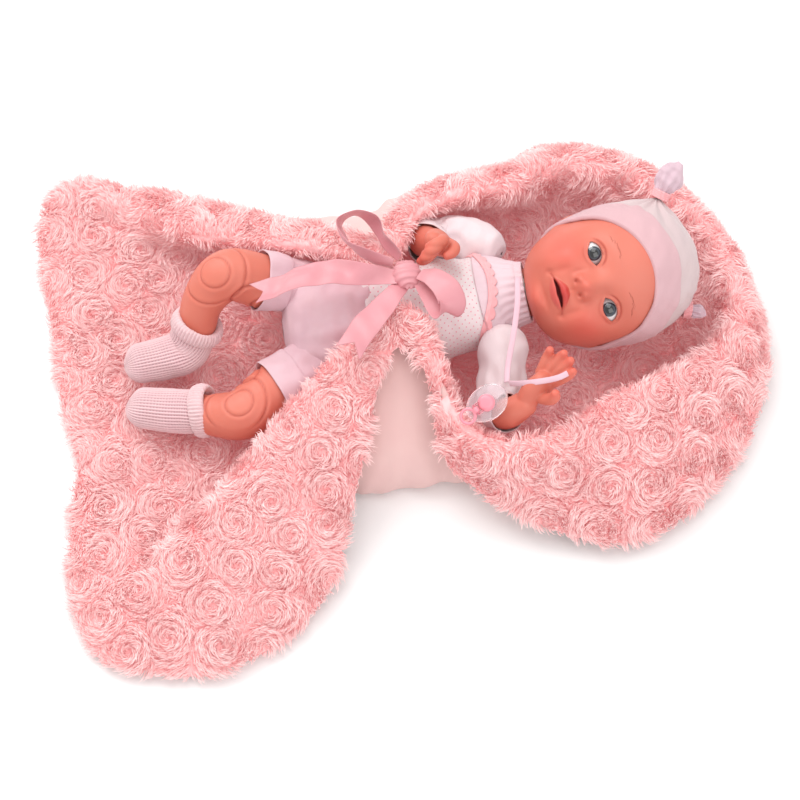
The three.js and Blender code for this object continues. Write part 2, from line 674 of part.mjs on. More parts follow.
// ---- Clothes ----
const shirtHem = -30;
const sleeveGap = 0.6; // between an arm and its sleeve
const coat = (grow) => bodyShape(grow + cloth);
const clothed = coat(gap).subtract(bodyShape(gap));
const neckHole = rod(neckRadius + 3.6, 60, [70, neckAxis[1], neckAxis[2]], "x");
const upperHalf = clothed.intersect(halfSpace([shirtHem, 0, 0], [1, 0, 0]));
const shirt = upperHalf.subtract(neckHole).subtract(jointRoom);
const shorts = clothed.intersect(halfSpace([shirtHem - 0.4, 0, 0], [-1, 0, 0])).subtract(jointRoom);
add("shirt", shirt, jersey);
add("shorts", shorts, lilac);
for (const side of sides) {
  const armHole = armTube(side, sleeveGap).add(palmShape(side, gap));
  const sleeve = sleeveShape(side, gap + cloth).subtract(armHole);
  add("sleeve_" + side, sleeve, jersey);
  const shortsLeg = shortsLegShape(side, gap + cloth).subtract(legTube(side, gap));
  add("shorts_leg_" + side, shortsLeg, lilac);
}

// The scalloped trim of the yoke, lying on the shirt from one shoulder round to the other.
const trimPoints = [[38, 30, 62.5], [43, 18, 69], [45, 0, 71.4], [43, -16, 69.6], [38, -29, 63]];
const trimAcross = [[1, 0.1, 0.1], [1, 0, 0.1], [1, 0, 0.08], [1, 0, 0.1], [1, -0.1, 0.1]];
const trimBand = band(trimPoints, trimAcross, 7, 1, 22);
add("shirt_trim", trimBand.subtract(coat(gap + 0.3)).subtract(jointRoom), trimPink);

const ankle = {
  right: { at: [-133, 10, 37], away: [0.45, 0.25, 0.85] },
  left: { at: [-139, -39, 27], away: [0.95, -0.2, 0.25] },
};
for (const side of sides) {
  const { at, away } = ankle[side];
  const foot = legShape(side, gap + cloth).intersect(halfSpace(at, away.map((v) => -v)));
  const sock = foot.subtract(legShape(side, gap));
  add("sock_" + side, sock, wool);
  const upLeg = vec(away).normalize();
  const cuffTurn = new THREE.Quaternion().setFromUnitVectors(new THREE.Vector3(0, 0, 1), upLeg);
  const cuffAt = vec(at).addScaledVector(upLeg, 4.6);
  const cuffPlace = new THREE.Matrix4().compose(cuffAt, cuffTurn, new THREE.Vector3(1, 1, 1));
  const cuff = rodBetween(15.4, 8.4, cuffPlace).subtract(legShape(side, gap));
  add("sock_cuff_" + side, cuff, wool);
}

function rodBetween(radius, length, place, sides = 14) {
  const upright = new THREE.Matrix4().makeRotationX(Math.PI / 2);
  return solid(new THREE.CylinderGeometry(radius, radius, length, sides), place.clone().multiply(upright));
}

// ---- Head ----
const headTurnEuler = new THREE.Euler(
  THREE.MathUtils.degToRad(headTurn),
  THREE.MathUtils.degToRad(headTip),
  THREE.MathUtils.degToRad(headRoll),
  "XYZ",
);
const headPlace = new THREE.Matrix4().compose(
  vec(headCentre),
  new THREE.Quaternion().setFromEuler(headTurnEuler),
  new THREE.Vector3(1, 1, 1),
);

// Raised and sunken places of the face: [x, y, z in the head's frame, radius, height].
const faceForms = [
  [-9, 0, 43, 9, 1.5],
  [-20, 0, 43, 6.5, 8],
  [-35, 0, 37, 9, 4],
  [-46, 0, 24, 11, 3.5],
  [-27, 24, 28, 15, 4.5],
  [-27, -24, 28, 15, 4.5],
  [-10, 17, 37, 9, -2.5],
  [-10, -17, 37, 9, -2.5],
];

// Full cheeks and a square jaw: the lower front of the head is a rounded block, the rest an egg.
const jawRadii = [54, 38.5];
const jawPower = 2.8;
const faceStep = (from, to, x) => THREE.MathUtils.smoothstep((x - from) / (to - from), 0, 1);

function jawDistance(direction) {
  const across = Math.hypot(direction.x, direction.y);
  if (across < 1e-6) return headRadii[2];
  const block = Math.abs(direction.x / jawRadii[0]) ** jawPower + Math.abs(direction.y / jawRadii[1]) ** jawPower;
  const depth = Math.abs(direction.z / headRadii[2]) ** 2.4;
  return (block ** (2.4 / jawPower) + depth) ** (-1 / 2.4);
}

// The point of the head's surface for a unit direction in the head's frame.
function headPoint(direction, grow) {
  const [a, b, c] = headRadii;
  const egg = 1 / Math.hypot(direction.x / a, direction.y / b, direction.z / c);
  const share = faceStep(0.25, -0.35, direction.x) * faceStep(-0.35, 0.15, direction.z);
  const point = direction.clone().multiplyScalar(lerp(egg, jawDistance(direction), share));
  if (direction.x < 0 && direction.z < 0) point.z *= 1 - 0.3 * direction.x * direction.x;
  if (direction.x < 0) point.y *= 1 - 0.1 * (1 - share) * direction.x * direction.x;
  let rise = 0;
  for (const [x, y, z, radius, height] of faceForms) {
    const distance = point.distanceTo(new THREE.Vector3(x, y, z));
    rise += height * Math.exp(-((distance / radius) ** 2));
  }
  const outward = new THREE.Vector3(direction.x / a, direction.y / b, direction.z / c).normalize();
  return point.addScaledVector(outward, rise + grow);
}

function headShape(grow, around = 18, down = 12) {
  const shape = new THREE.SphereGeometry(1, around, down);
  const place = shape.attributes.position;
  const direction = new THREE.Vector3();
  for (let i = 0; i < place.count; i++) {
    direction.fromBufferAttribute(place, i).normalize();
    const point = headPoint(direction, grow);
    place.setXYZ(i, point.x, point.y, point.z);
  }
  return solid(shape, headPlace);
}

const inHead = (x, y, z) => vec([x, y, z]).applyMatrix4(headPlace).toArray();
const headAxes = new THREE.Matrix4().extractRotation(headPlace);
const headOuter = headShape(0);
const neckOpening = rod(neckRadius + 0.9, 30, [70, neckAxis[1], neckAxis[2]], "x");
const hollow = headShape(-headShell, 12, 8).intersect(halfSpace([74, 0, 0], [1, 0, 0]));
let head = headOuter.subtract(hollow).subtract(neckOpening);
for (const side of [1, -1]) {
  const [x, y, z] = eyePlace;
  const centre = inHead(x, side * y, z);
  const socketRadius = eyeRadius + gap;
  head = head.subtract(ball([socketRadius, socketRadius, socketRadius], centre, 12, 8, headAxes));
  const eye = ball([eyeRadius, eyeRadius, eyeRadius], centre, 12, 8, headAxes);
  add(side === 1 ? "eye_right" : "eye_left", eye, eyeBlue);
}
head = head.subtract(rod(neckRadius + 4, 5.4, [neckEnd - 1.3, neckAxis[1], neckAxis[2]], "x"));
add("head_shell", head, skin);

// ---- Hat: jersey crown, turned-up brim, and two knotted ears bound with thread ----
const headNormal = (x, y, z) => vec([x, y, z]).applyMatrix4(headAxes).toArray();
const brimStart = -32; // where the brim's planes cross the line from crown to chin
const brimEnd = -4;
const hatTilt = 1.3; // how far the brim's planes fall towards the nape
const crownCut = halfSpace(inHead(brimStart + 4, 0, 0), headNormal(1, 0.0, -hatTilt));
const brimLow = halfSpace(inHead(brimStart, 0, 0), headNormal(1, 0, -hatTilt));
const brimHigh = halfSpace(inHead(brimEnd, 0, 0), headNormal(-1, 0, hatTilt));
const hatGrow = gap + cloth;
const nape = rod(neckRadius + 4.5, 30, alongNeck(75), "x");
const hatCrown = headShape(hatGrow).subtract(headShape(gap)).intersect(crownCut);
const hatBrim = headShape(hatGrow + gap + 2).subtract(headShape(hatGrow + gap));
add("hat_crown", hatCrown.subtract(nape), jersey);
add("hat_brim", largest(hatBrim.intersect(brimLow).intersect(brimHigh).subtract(nape)), lilac);
const knots = {
  right: { base: [37, 37, 4], tip: [51, 52, 6] },
  left: { base: [35, -31, -8], tip: [45, -35, -9] },
};
for (const side of sides) {
  const base = vec(inHead(...knots[side].base));
  const tip = vec(inHead(...knots[side].tip));
  const along = tip.clone().sub(base).normalize();
  const start = base.clone().addScaledVector(along, 2);
  const waist = base.clone().addScaledVector(along, 5);
  const stations = [
    [...start.toArray(), 7, 6],
    [...waist.toArray(), 3.4, 3.4],
    [...tip.toArray(), 7, 5],
  ];
  const knot = limb(stations, 0, 10, 12, [0.2, 0.3, 1]).subtract(headShape(hatGrow + gap));
  add("hat_ear_" + side, knot, jersey);
  const ringTurn = new THREE.Quaternion().setFromUnitVectors(new THREE.Vector3(0, 0, 1), along);
  const ringPlace = new THREE.Matrix4().compose(waist, ringTurn, new THREE.Vector3(1, 1, 1));
  add("hat_thread_" + side, solid(new THREE.TorusGeometry(5.4, 0.9, 5, 12), ringPlace), trimPink);
}
const hatRoomShapes = [headShape(hatGrow + gap + 2 + moveGap)];
for (const side of sides) {
  const ends = [inHead(...knots[side].base), inHead(...knots[side].tip)];
  hatRoomShapes.push(limb(ends.map((p) => [...p, 7.8]), moveGap, 10, 6));
}
const headRoom = swept(join(hatRoomShapes), neckAxis, xAxis, range.neck, 2);

// ---- Pacifier and its ribbon ----
const pacifierCentre = [29, -84, 72];
const pacifierTilt = new THREE.Matrix4().makeRotationFromEuler(new THREE.Euler(0.45, -0.25, 0.5));
const pacifierPlace = shift(...pacifierCentre).multiply(pacifierTilt);
const shieldSize = [13, 10];
const shieldShape = new THREE.Shape().absellipse(0, 0, ...shieldSize, 0, 2 * Math.PI);
const shieldSettings = { depth: 2, curveSegments: 12, bevelEnabled: false };
const shieldPlate = new THREE.ExtrudeGeometry(shieldShape, shieldSettings);
const pacifierHub = rodBetween(4, 2.5, pacifierPlace.clone().multiply(shift(0, 0, 3)));
add("pacifier_shield", solid(shieldPlate, pacifierPlace).add(pacifierHub), clearPlastic);
const nipple = [[0, -0.3], [3, -0.3], [3, -3], [4.5, -6], [4, -8.5], [0, -9.5]];
add("pacifier_nipple", lathe(nipple.reverse(), pacifierPlace, 14), clearPlastic);
const knobProfile = [[0, 4.6], [5, 4.6], [5, 6], [3.5, 7], [0, 7.4]];

const lugX = -7;
const lugRadius = 1.9;
const pinRadius = 0.7;
const ringRadius = 4.2;
const ringWire = 0.9;
const ringZ = 6.6;
const acrossPacifier = new THREE.Matrix4().makeRotationX(Math.PI / 2);
const crossPlace = pacifierPlace.clone().multiply(shift(lugX, 0, ringZ)).multiply(acrossPacifier);
const crossRod = (radius, length) => rodBetween(radius, length, crossPlace, 10);
const ringLoop = new THREE.TorusGeometry(ringRadius, ringWire, 6, 14);
const ringLoopPlace = pacifierPlace.clone().multiply(shift(lugX - lugRadius - ringRadius + 0.2, 0, ringZ));
const ringWhole = solid(ringLoop, ringLoopPlace).add(crossRod(lugRadius, 3.2));
const ringBody = ringWhole.subtract(crossRod(pinRadius + 0.3, 9));
let knobBody = lathe(knobProfile, pacifierPlace, 14).add(crossRod(pinRadius, 6.4));
for (const y of [2.8, -2.8]) {
  const cheekPlace = pacifierPlace.clone().multiply(shift(-5.2, y, ringZ));
  knobBody = knobBody.add(solid(new THREE.BoxGeometry(5, 1.2, 2), cheekPlace));
}
add("pacifier_knob", knobBody, pinkPlastic);
add("pacifier_ring", ringBody, pinkPlastic);

const lanyardPoints = [[60, -6, 72.5], [57, -24, 70.5], [52, -42, 67], [46, -60, 64.5], [43, -70, 67]];
const lanyardAcross = [[1, 0.2, 0], [1, 0.25, 0], [1, 0.3, 0.1], [1, 0.35, 0.2], [1, 0.4, 0.3]];
const lanyardKnot = ball([4, 3, 2.6], [43, -71, 68], 8, 6);
add("lanyard_ribbon", band(lanyardPoints, lanyardAcross, lanyardWidth, 0.6, 12).add(lanyardKnot), lilac);
const handRibbonPoints = [[49, -79, 76], [57, -80, 81], [66, -82, 85], [75, -82, 87]];
const handRibbonAcross = [[0, 0.6, 0.8], [0, 0.8, 0.6], [-0.2, 0.8, 0.5], [-0.3, 0.9, 0.4]];
const handRibbon = band(handRibbonPoints, handRibbonAcross, lanyardWidth, 0.6, 10);
add("lanyard_hand_loop", handRibbon.subtract(armShape("left", 0.4)), lilac);

// ---- Satin bow that holds the two flaps of the blanket together ----
const knotCentre = [-5, -1, 88];
const knotSize = [8, 9, 6];
const knotBall = ball(knotSize, knotCentre, 14, 8);
const knotRoom = ball(knotSize.map((r) => r + gap), knotCentre, 14, 8);
add("bow_knot", knotBall, satin);
const bowBands = {
  bow_loop_far: {
    path: [
      [-8, 8.5, 93],
      [-15, 20, 95],
      [-20, 34, 96],
      [-30, 41, 96],
      [-39, 35, 95],
      [-35, 21, 94],
      [-24, 12, 93],
      [-14, 7.5, 92],
    ],
    across: [
      [0.2, 0, 1],
      [0.3, -0.1, 1],
      [0.3, -0.2, 1],
      [0, -0.3, 1],
      [-0.2, -0.2, 1],
      [-0.3, 0, 1],
      [-0.2, 0.1, 1],
      [0, 0.3, 1],
    ],
    width: ribbonWidth * 0.8,
  },
  bow_loop_near: {
    path: [
      [2, -4, 92.5],
      [9, -10, 96.5],
      [15, -18, 96.5],
      [17.5, -27, 92.5],
      [12, -29, 88.6],
      [7, -19, 89],
      [1.5, -8, 89.5],
    ],
    across: [
      [0.7, 0.7, 0],
      [0.8, 0.6, 0],
      [0.9, 0.4, 0],
      [1, 0.2, 0],
      [1, 0.1, 0],
      [0.9, 0.4, 0],
      [0.8, 0.6, 0],
    ],
    width: ribbonWidth * 0.85,
  },
  bow_tail_far: {
    path: [[-13, -4.5, 92], [-30, 0, 93], [-50, 4, 95], [-68, 3, 95], [-84, 0, 93], [-94, -2, 91]],
    across: [[0, 0.9, 0.4], [0, 0.8, 0.6], [0.2, 1, 0], [0.3, 1, -0.2], [0.3, 1, -0.2], [0.3, 1, -0.2]],
    width: ribbonWidth,
  },
  bow_tail_near: {
    path: [[-10, -8.5, 86.4], [-21, -20, 88.5], [-34, -33, 90], [-46, -46, 85]],
    across: [[0.8, -0.5, 0], [0.8, -0.6, 0], [0.75, -0.65, 0], [0.75, -0.65, 0]],
    width: ribbonWidth,
  },
};
for (const [name, { path, across, width }] of Object.entries(bowBands)) {
  add(name, band(path, across, width, ribbonThickness, 24).subtract(knotRoom), satin);
}

add("blanket_lining", blanketLining, liningPink);
add("blanket_plush", plushSheet.subtract(limbRoom).subtract(headRoom).subtract(knotRoom), plushPink);

// ---- The part as a group of named meshes ----
const part = new THREE.Group();
for (const [name, { shape, look }] of nodes) {
  const [color, roughness, metalness] = look;
  const material = new THREE.MeshStandardMaterial({ color, roughness, metalness });
  const mesh = new THREE.Mesh(geometryOf(shape), material);
  mesh.name = name;
  part.add(mesh);
}

export default part;
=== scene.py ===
"""A vinyl baby doll on its back in a rose-plush blanket tied with a satin bow.

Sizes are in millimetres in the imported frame's axes: +X to the doll's head, +Y to its right side, +Z up.
Meshes are scaled to metres when they are made.
"""

import math

import bpy
import numpy as np
from mathutils import Matrix, Vector
from mathutils.bvhtree import BVHTree


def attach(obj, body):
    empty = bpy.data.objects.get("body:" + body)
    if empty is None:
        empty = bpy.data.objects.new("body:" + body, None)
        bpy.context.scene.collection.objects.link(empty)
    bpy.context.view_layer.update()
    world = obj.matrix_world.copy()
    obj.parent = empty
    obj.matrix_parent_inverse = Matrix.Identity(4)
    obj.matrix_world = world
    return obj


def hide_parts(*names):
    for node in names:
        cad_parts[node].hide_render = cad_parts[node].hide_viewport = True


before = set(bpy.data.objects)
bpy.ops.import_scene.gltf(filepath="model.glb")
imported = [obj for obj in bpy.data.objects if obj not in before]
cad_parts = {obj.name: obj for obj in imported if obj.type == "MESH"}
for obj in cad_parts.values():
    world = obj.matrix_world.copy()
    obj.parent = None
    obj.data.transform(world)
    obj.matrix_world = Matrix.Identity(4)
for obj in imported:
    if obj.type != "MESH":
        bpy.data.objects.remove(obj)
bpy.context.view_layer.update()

MM = 0.001
ROOT = "doll_and_blanket"
rng = np.random.default_rng(7)

# ---- Driving dimensions, in millimetres ----
LINING = 1.8
PILE = 8.5  # length of the plush's strands
PILE_BASE = 2.4  # woven back and dense foot of the pile
ROSE = 21.0  # spacing of the roses in the plush
STRANDS = 300_000
STRANDS_PER_PIECE = 37_500
HEAD_CENTRE = (121, -3, 58)
HEAD_RADII = (50, 41, 43)  # crown, ears, face
HEAD_TURN = (32, -5, 8)  # degrees
EYE_RADIUS = 8.5
EYE_PLACE = (-11, 17.5, 29.5)

ARM_PATH = {
    "right": [
        (50, 36, 46, 12), (37, 45, 44, 11.5), (24, 48, 43.5, 11), (15, 44, 50, 10.3), (13, 36, 60, 9.5),
        (17, 27, 73, 7.6),
    ],
    "left": [
        (50, -36, 46, 12), (44, -54, 43, 11.5), (40, -67, 42.5, 10.6), (38, -77, 47, 9.8), (42, -84, 55, 9),
        (52, -83, 63, 7.6),
    ],
}
ARM_UP = {"right": (0.4, 0.6, 0.4), "left": (-0.6, 0.1, 0.7)}
LEG_PATH = {
    "right": [
        (-64, 24, 43, 14), (-88, 27, 56, 16), (-109, 29, 65, 15.5), (-124, 22, 54, 13),
        (-133, 10, 38, 10.5),
    ],
    "left": [
        (-64, -24, 38, 14), (-86, -35, 38, 16), (-109, -49, 35, 15.5), (-126, -46, 31, 13),
        (-138, -40, 27, 10.5),
    ],
}
FOOT_PATH = {
    "right": [
        (-128, 17, 46, 11.6), (-133, 9, 36, 11.4), (-140, 3, 27.5, 11.6), (-152, 1, 25.5, 11.4),
        (-167, -1, 26.5, 10.4),
    ],
    "left": [
        (-133, -43, 29, 11.6), (-139, -39, 26.5, 11.4), (-147, -36.5, 25, 11.6), (-157, -34, 24.5, 11.4),
        (-169, -31, 25, 10.4),
    ],
}


# ---- Materials ----
def srgb(r, g, b):
    """A colour given as 0 to 255 in the usual display scale, as Blender's linear colour."""
    out = []
    for v in (r, g, b):
        v /= 255
        out.append(v / 12.92 if v <= 0.04045 else ((v + 0.055) / 1.055) ** 2.4)
    return (*out, 1.0)


def rgb(r, g, b):
    """The same colour as an array of three, for painting on points."""
    return np.array(srgb(r, g, b)[:3])


class Nodes:
    """A material's node tree, with short ways to add and join nodes."""

    def __init__(self, name):
        self.material = bpy.data.materials.new(name)
        self.material.use_nodes = True
        self.tree = self.material.node_tree
        self.shader = self.tree.nodes["Principled BSDF"]

    def add(self, kind, **settings):
        node = self.tree.nodes.new("ShaderNode" + kind)
        for key, value in settings.items():
            if hasattr(node, key):
                setattr(node, key, value)
            else:
                node.inputs[key].default_value = value
        return node

    def join(self, out, into):
        self.tree.links.new(out, into)

    def set(self, **values):
        for key, value in values.items():
            self.shader.inputs[key.replace("_", " ")].default_value = value

    def ramp(self, fac, stops):
        node = self.add("ValToRGB")
        ramp = node.color_ramp
        while len(ramp.elements) < len(stops):
            ramp.elements.new(0.5)
        for element, (place, colour) in zip(ramp.elements, stops):
            element.position = place
            element.color = colour
        self.join(fac, node.inputs["Fac"])
        return node.outputs["Color"]

    def mix(self, fac, a, b, blend="MIX"):
        node = self.add("Mix", data_type="RGBA", blend_type=blend)
        for socket, value in ((node.inputs[0], fac), (node.inputs[6], a), (node.inputs[7], b)):
            if isinstance(value, bpy.types.NodeSocket):
                self.join(value, socket)
            else:
                socket.default_value = value
        return node.outputs[2]

    def math(self, operation, a, b=None):
        node = self.add("Math", operation=operation)
        for socket, value in zip(node.inputs, (a, b)):
            if value is None:
                continue
            if isinstance(value, bpy.types.NodeSocket):
                self.join(value, socket)
            else:
                socket.default_value = value
        return node.outputs[0]

    def place(self, kind="Object"):
        return self.add("TexCoord").outputs[kind]

    def noise(self, scale, detail=4, vector=None):
        node = self.add("TexNoise", Scale=scale, Detail=detail)
        self.join(vector or self.place(), node.inputs["Vector"])
        return node.outputs["Fac"]

    def bump(self, height, distance, strength=0.5, after=None):
        node = self.add("Bump", Strength=strength, Distance=distance)
        self.join(height, node.inputs["Height"])
        if after:
            self.join(after, node.inputs["Normal"])
        self.join(node.outputs["Normal"], self.shader.inputs["Normal"])
        return node.outputs["Normal"]

    def colour(self, socket):
        self.join(socket, self.shader.inputs["Base Color"])


def attribute_colour(nodes, name):
    return nodes.add("Attribute", attribute_name=name).outputs["Color"]


def attribute_value(nodes, name):
    return nodes.add("Attribute", attribute_name=name).outputs["Fac"]


# Painted glow: a faint red emission on the pile stands in for light passing through it.
PILE_PAINTED_GLOW = (1.0, 0.34, 0.37, 1.0)


def plush_material(name, deep, middle, light):
    """Pile: coral at the foot of a strand and pale pink at its tip, painted shade low in the pile and painted
    light at the tips, with a faint painted glow.
    """
    n = Nodes(name)
    pile_shading = attribute_value(n, "pile_shading")
    colour = n.ramp(pile_shading, [(0.0, deep), (0.42, middle), (0.8, light)])
    patches = n.noise(38, 3)
    n.colour(n.mix(n.math("MULTIPLY", patches, 0.3), colour, light))
    n.set(Roughness=0.85, Sheen_Weight=0.3, Sheen_Roughness=0.5, Specular_IOR_Level=0.1)
    # A painted glow in place of light passing through the pile.
    n.set(Emission_Color=PILE_PAINTED_GLOW, Emission_Strength=0.06)
    return n.material


def knit_bump(n, scale, distance, strength=0.35):
    """Rows of stitches from two crossed waves over the UV map, in millimetres."""
    place = n.place("UV")
    rows = n.add("TexWave", bands_direction="X", Scale=scale, Distortion=0.6)
    columns = n.add("TexWave", bands_direction="Y", Scale=scale * 1.3, Distortion=0.6)
    n.join(place, rows.inputs["Vector"])
    n.join(place, columns.inputs["Vector"])
    n.bump(n.math("MULTIPLY", rows.outputs["Fac"], columns.outputs["Fac"]), distance, strength)
    return rows.outputs["Fac"]


def cloth_material(name, colour, shade, knit=0.9, distance=0.0002, sheen=0.3, dots=None, groove=None):
    """Knitted cloth: fine stitches, soft colour change, if asked for a lattice of small printed dots, and if
    given a groove colour painted shade in the grooves.
    """
    n = Nodes(name)
    stitches = knit_bump(n, knit, distance)
    base = n.mix(n.noise(60, 5), colour, shade)
    base = n.mix(n.math("MULTIPLY", stitches, 0.12), base, shade)
    if dots:
        spacing, radius, ink = dots
        split = n.add("SeparateXYZ")
        n.join(n.place("UV"), split.inputs[0])
        u = n.math("DIVIDE", split.outputs[0], spacing)
        row = n.math("DIVIDE", split.outputs[1], spacing * 0.5)
        shifted = n.math("ADD", u, n.math("MULTIPLY", n.math("MODULO", n.math("FLOOR", row), 2.0), 0.5))
        du = n.math("MULTIPLY", n.math("SUBTRACT", n.math("FRACT", shifted), 0.5), spacing)
        dv = n.math("MULTIPLY", n.math("SUBTRACT", n.math("FRACT", row), 0.5), spacing * 0.5)
        away = n.math("SQRT", n.math("ADD", n.math("POWER", du, 2.0), n.math("POWER", dv, 2.0)))
        base = n.mix(n.math("LESS_THAN", away, radius), base, ink)
    # Painted shade: where the groove attribute is set, the cloth darkens towards the groove colour.
    if groove:
        base = n.mix(attribute_value(n, "groove"), base, groove)
    n.colour(base)
    n.set(Roughness=0.9, Sheen_Weight=sheen, Sheen_Roughness=0.4, Specular_IOR_Level=0.2)
    return n.material


def satin_material():
    n = Nodes("satin_ribbon")
    place = n.place("UV")
    weave = n.add("TexWave", bands_direction="Y", Scale=3.2, Distortion=0.3)
    n.join(place, weave.inputs["Vector"])
    n.bump(weave.outputs["Fac"], 0.00006, 0.25)
    folds = n.noise(45, 3)
    n.colour(n.mix(folds, srgb(222, 158, 163), srgb(208, 132, 143)))
    n.set(Roughness=0.34, Sheen_Weight=0.4, Sheen_Roughness=0.3, Anisotropic=0.6, Specular_IOR_Level=0.55)
    return n.material


def skin_material():
    n = Nodes("vinyl_skin")
    painted = attribute_colour(n, "paint")
    mottle = n.noise(30, 4)
    warm = n.mix(n.math("MULTIPLY", mottle, 0.22), painted, srgb(214, 104, 88))
    n.colour(warm)
    n.bump(n.noise(900, 3), 0.00008, 0.12)
    n.set(Roughness=0.46, Subsurface_Weight=0.12, Subsurface_Scale=0.004, Specular_IOR_Level=0.35)
    n.shader.inputs["Subsurface Radius"].default_value = (1.0, 0.35, 0.25)
    return n.material


PLAIN_GRAIN = 400
PLAIN_DEPTH = 0.00004  # metres


def plain_material(name, colour, roughness, metallic=0.0, **extra):
    """One colour with a faint grain, for plastic, metal, board and fibre."""
    n = Nodes(name)
    darker = (colour[0] * 0.9, colour[1] * 0.9, colour[2] * 0.9, 1.0)
    n.colour(n.mix(n.noise(PLAIN_GRAIN / 8, 3), colour, darker))
    n.bump(n.noise(PLAIN_GRAIN, 3), PLAIN_DEPTH, 0.2)
    n.set(Roughness=roughness, Metallic=metallic, **extra)
    return n.material


def eye_material():
    n = Nodes("doll_eye")
    n.colour(attribute_colour(n, "paint"))
    n.set(Roughness=0.08, Coat_Weight=1.0, Coat_Roughness=0.02, Specular_IOR_Level=0.6)
    return n.material


def clear_material():
    n = Nodes("clear_plastic")
    n.colour(n.mix(n.noise(60, 2), srgb(250, 240, 243), srgb(240, 226, 232)))
    n.set(Roughness=0.12, Transmission_Weight=0.75, IOR=1.45, Coat_Weight=0.5)
    return n.material


# The coral foot colour is painted shade and the pale tip colour is painted light.
PLUSH = plush_material("plush_pile", srgb(252, 156, 159), srgb(252, 202, 202), srgb(252, 226, 225))
LINING_CLOTH = cloth_material(
    "lining_cloth", srgb(231, 198, 194), srgb(225, 186, 184), knit=0.6, distance=0.00012,
)
JERSEY = cloth_material("white_jersey", srgb(233, 218, 219), srgb(225, 206, 211))
DOTTED = cloth_material(
    "dotted_jersey", srgb(240, 230, 230), srgb(232, 219, 222), dots=(4.6, 0.42, srgb(232, 153, 169)),
)
SHORTS_CLOTH = cloth_material("shorts_cloth", srgb(224, 192, 198), srgb(217, 179, 190))
# The sock wool's groove colour is painted shade for the rib valleys and eyelets.
WOOL = cloth_material(
    "sock_wool", srgb(231, 202, 203), srgb(225, 186, 191), knit=0.5, distance=0.0003, sheen=0.5,
    groove=srgb(181, 132, 142),
)
TRIM = cloth_material("pink_trim", srgb(250, 190, 192), srgb(244, 170, 176), knit=1.2)
RIBBON_CLOTH = cloth_material(
    "ribbon_cloth", srgb(230, 199, 208), srgb(223, 181, 195), knit=1.6, distance=0.0001,
)
BODY_CLOTH = cloth_material("body_woven", srgb(240, 236, 228), srgb(230, 224, 214), knit=1.4)
SATIN = satin_material()
SKIN = skin_material()
EYE = eye_material()
CLEAR = clear_material()
PINK = plain_material("pink_plastic", srgb(246, 150, 165), 0.3, Coat_Weight=0.3)
WHITE = plain_material("white_plastic", srgb(234, 234, 230), 0.5)
BLACK = plain_material("black_plastic", srgb(34, 34, 36), 0.55)
STEEL = plain_material("plain_steel", srgb(190, 192, 196), 0.3, metallic=1.0)
BOARD = plain_material("circuit_board_green", srgb(38, 100, 62), 0.5)
LASH = plain_material("lash_fibre", srgb(52, 34, 30), 0.6)
BROW = plain_material("brow_paint", srgb(184, 92, 74), 0.6)
HAT_CLOTH = cloth_material("hat_jersey", srgb(216, 195, 195), srgb(205, 185, 187))
BRIM_CLOTH = cloth_material("brim_jersey", srgb(217, 178, 183), srgb(210, 170, 176))
YOKE_CLOTH = cloth_material("yoke_jersey", srgb(231, 208, 213), srgb(221, 197, 206))
TUFT_CLOTH = cloth_material("tuft_jersey", srgb(218, 192, 200), srgb(207, 179, 191))

NECK_SKIN = plain_material("neck_vinyl", srgb(210, 114, 99), 0.45)

CAD_MATERIALS = {
    "neck_plug": NECK_SKIN,
    "neck_tie": WHITE,
    "body_cloth": BODY_CLOTH,
    "pocket_flap": BODY_CLOTH,
    "module_rear_housing": WHITE,
    "module_front_housing": WHITE,
    "battery_door": WHITE,
    "housing_screw_1": STEEL,
    "housing_screw_2": STEEL,
    "door_screw": STEEL,
    "button_cell_1": STEEL,
    "button_cell_2": STEEL,
    "button_cell_3": STEEL,
    "button_spring": STEEL,
    "speaker_magnet": STEEL,
    "circuit_board": BOARD,
    "tact_switch": BLACK,
    "power_switch": BLACK,
    "speaker_cone": BLACK,
    "speaker_lead_1": PINK,
    "speaker_lead_2": BLACK,
    "push_button": PINK,
}
for node_name, material in CAD_MATERIALS.items():
    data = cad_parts[node_name].data
    data.materials.clear()
    data.materials.append(material)


# ---- Meshes from grids ----
def new_object(name, points, quads, material, triangles=(), uv=None):
    """An object from points in millimetres in any grid, quads, triangles and a UV for each point."""
    points = np.asarray(points, float).reshape(-1, 3)
    quads = np.asarray(quads, np.int32).reshape(-1, 4)
    triangles = np.asarray(triangles, np.int32).reshape(-1, 3)
    loops = np.concatenate([quads.ravel(), triangles.ravel()])
    starts = np.concatenate([np.arange(len(quads)) * 4, len(quads) * 4 + np.arange(len(triangles)) * 3])
    mesh = bpy.data.meshes.new(name)
    mesh.vertices.add(len(points))
    mesh.vertices.foreach_set("co", (points * MM).astype(np.float32).ravel())
    mesh.loops.add(len(loops))
    mesh.loops.foreach_set("vertex_index", loops)
    mesh.polygons.add(len(starts))
    mesh.polygons.foreach_set("loop_start", starts.astype(np.int32))
    mesh.update(calc_edges=True)
    if uv is not None:
        layer = mesh.uv_layers.new(name="UVMap")
        layer.data.foreach_set("uv", np.asarray(uv, np.float32).reshape(-1, 2)[loops].ravel())
    mesh.polygons.foreach_set("use_smooth", np.full(len(starts), True))
    mesh.materials.append(material)
    made = bpy.data.objects.new(name, mesh)
    bpy.context.scene.collection.objects.link(made)
    return made


def together(*parts):
    """Arrays that fit one grid as one array, with the parts in its last axis."""
    return np.stack(np.broadcast_arrays(*parts), -1)


def full_turn(count):
    """Evenly spaced angles round a circle."""
    return np.arange(count) / count * 2 * math.pi


def ball(turn, angle):
    """Unit directions in rings about Z, by turn from +Z and angle round it."""
    sin, cos = np.sin(turn)[:, None], np.cos(turn)[:, None]
    return together(sin * np.cos(angle), sin * np.sin(angle), cos)


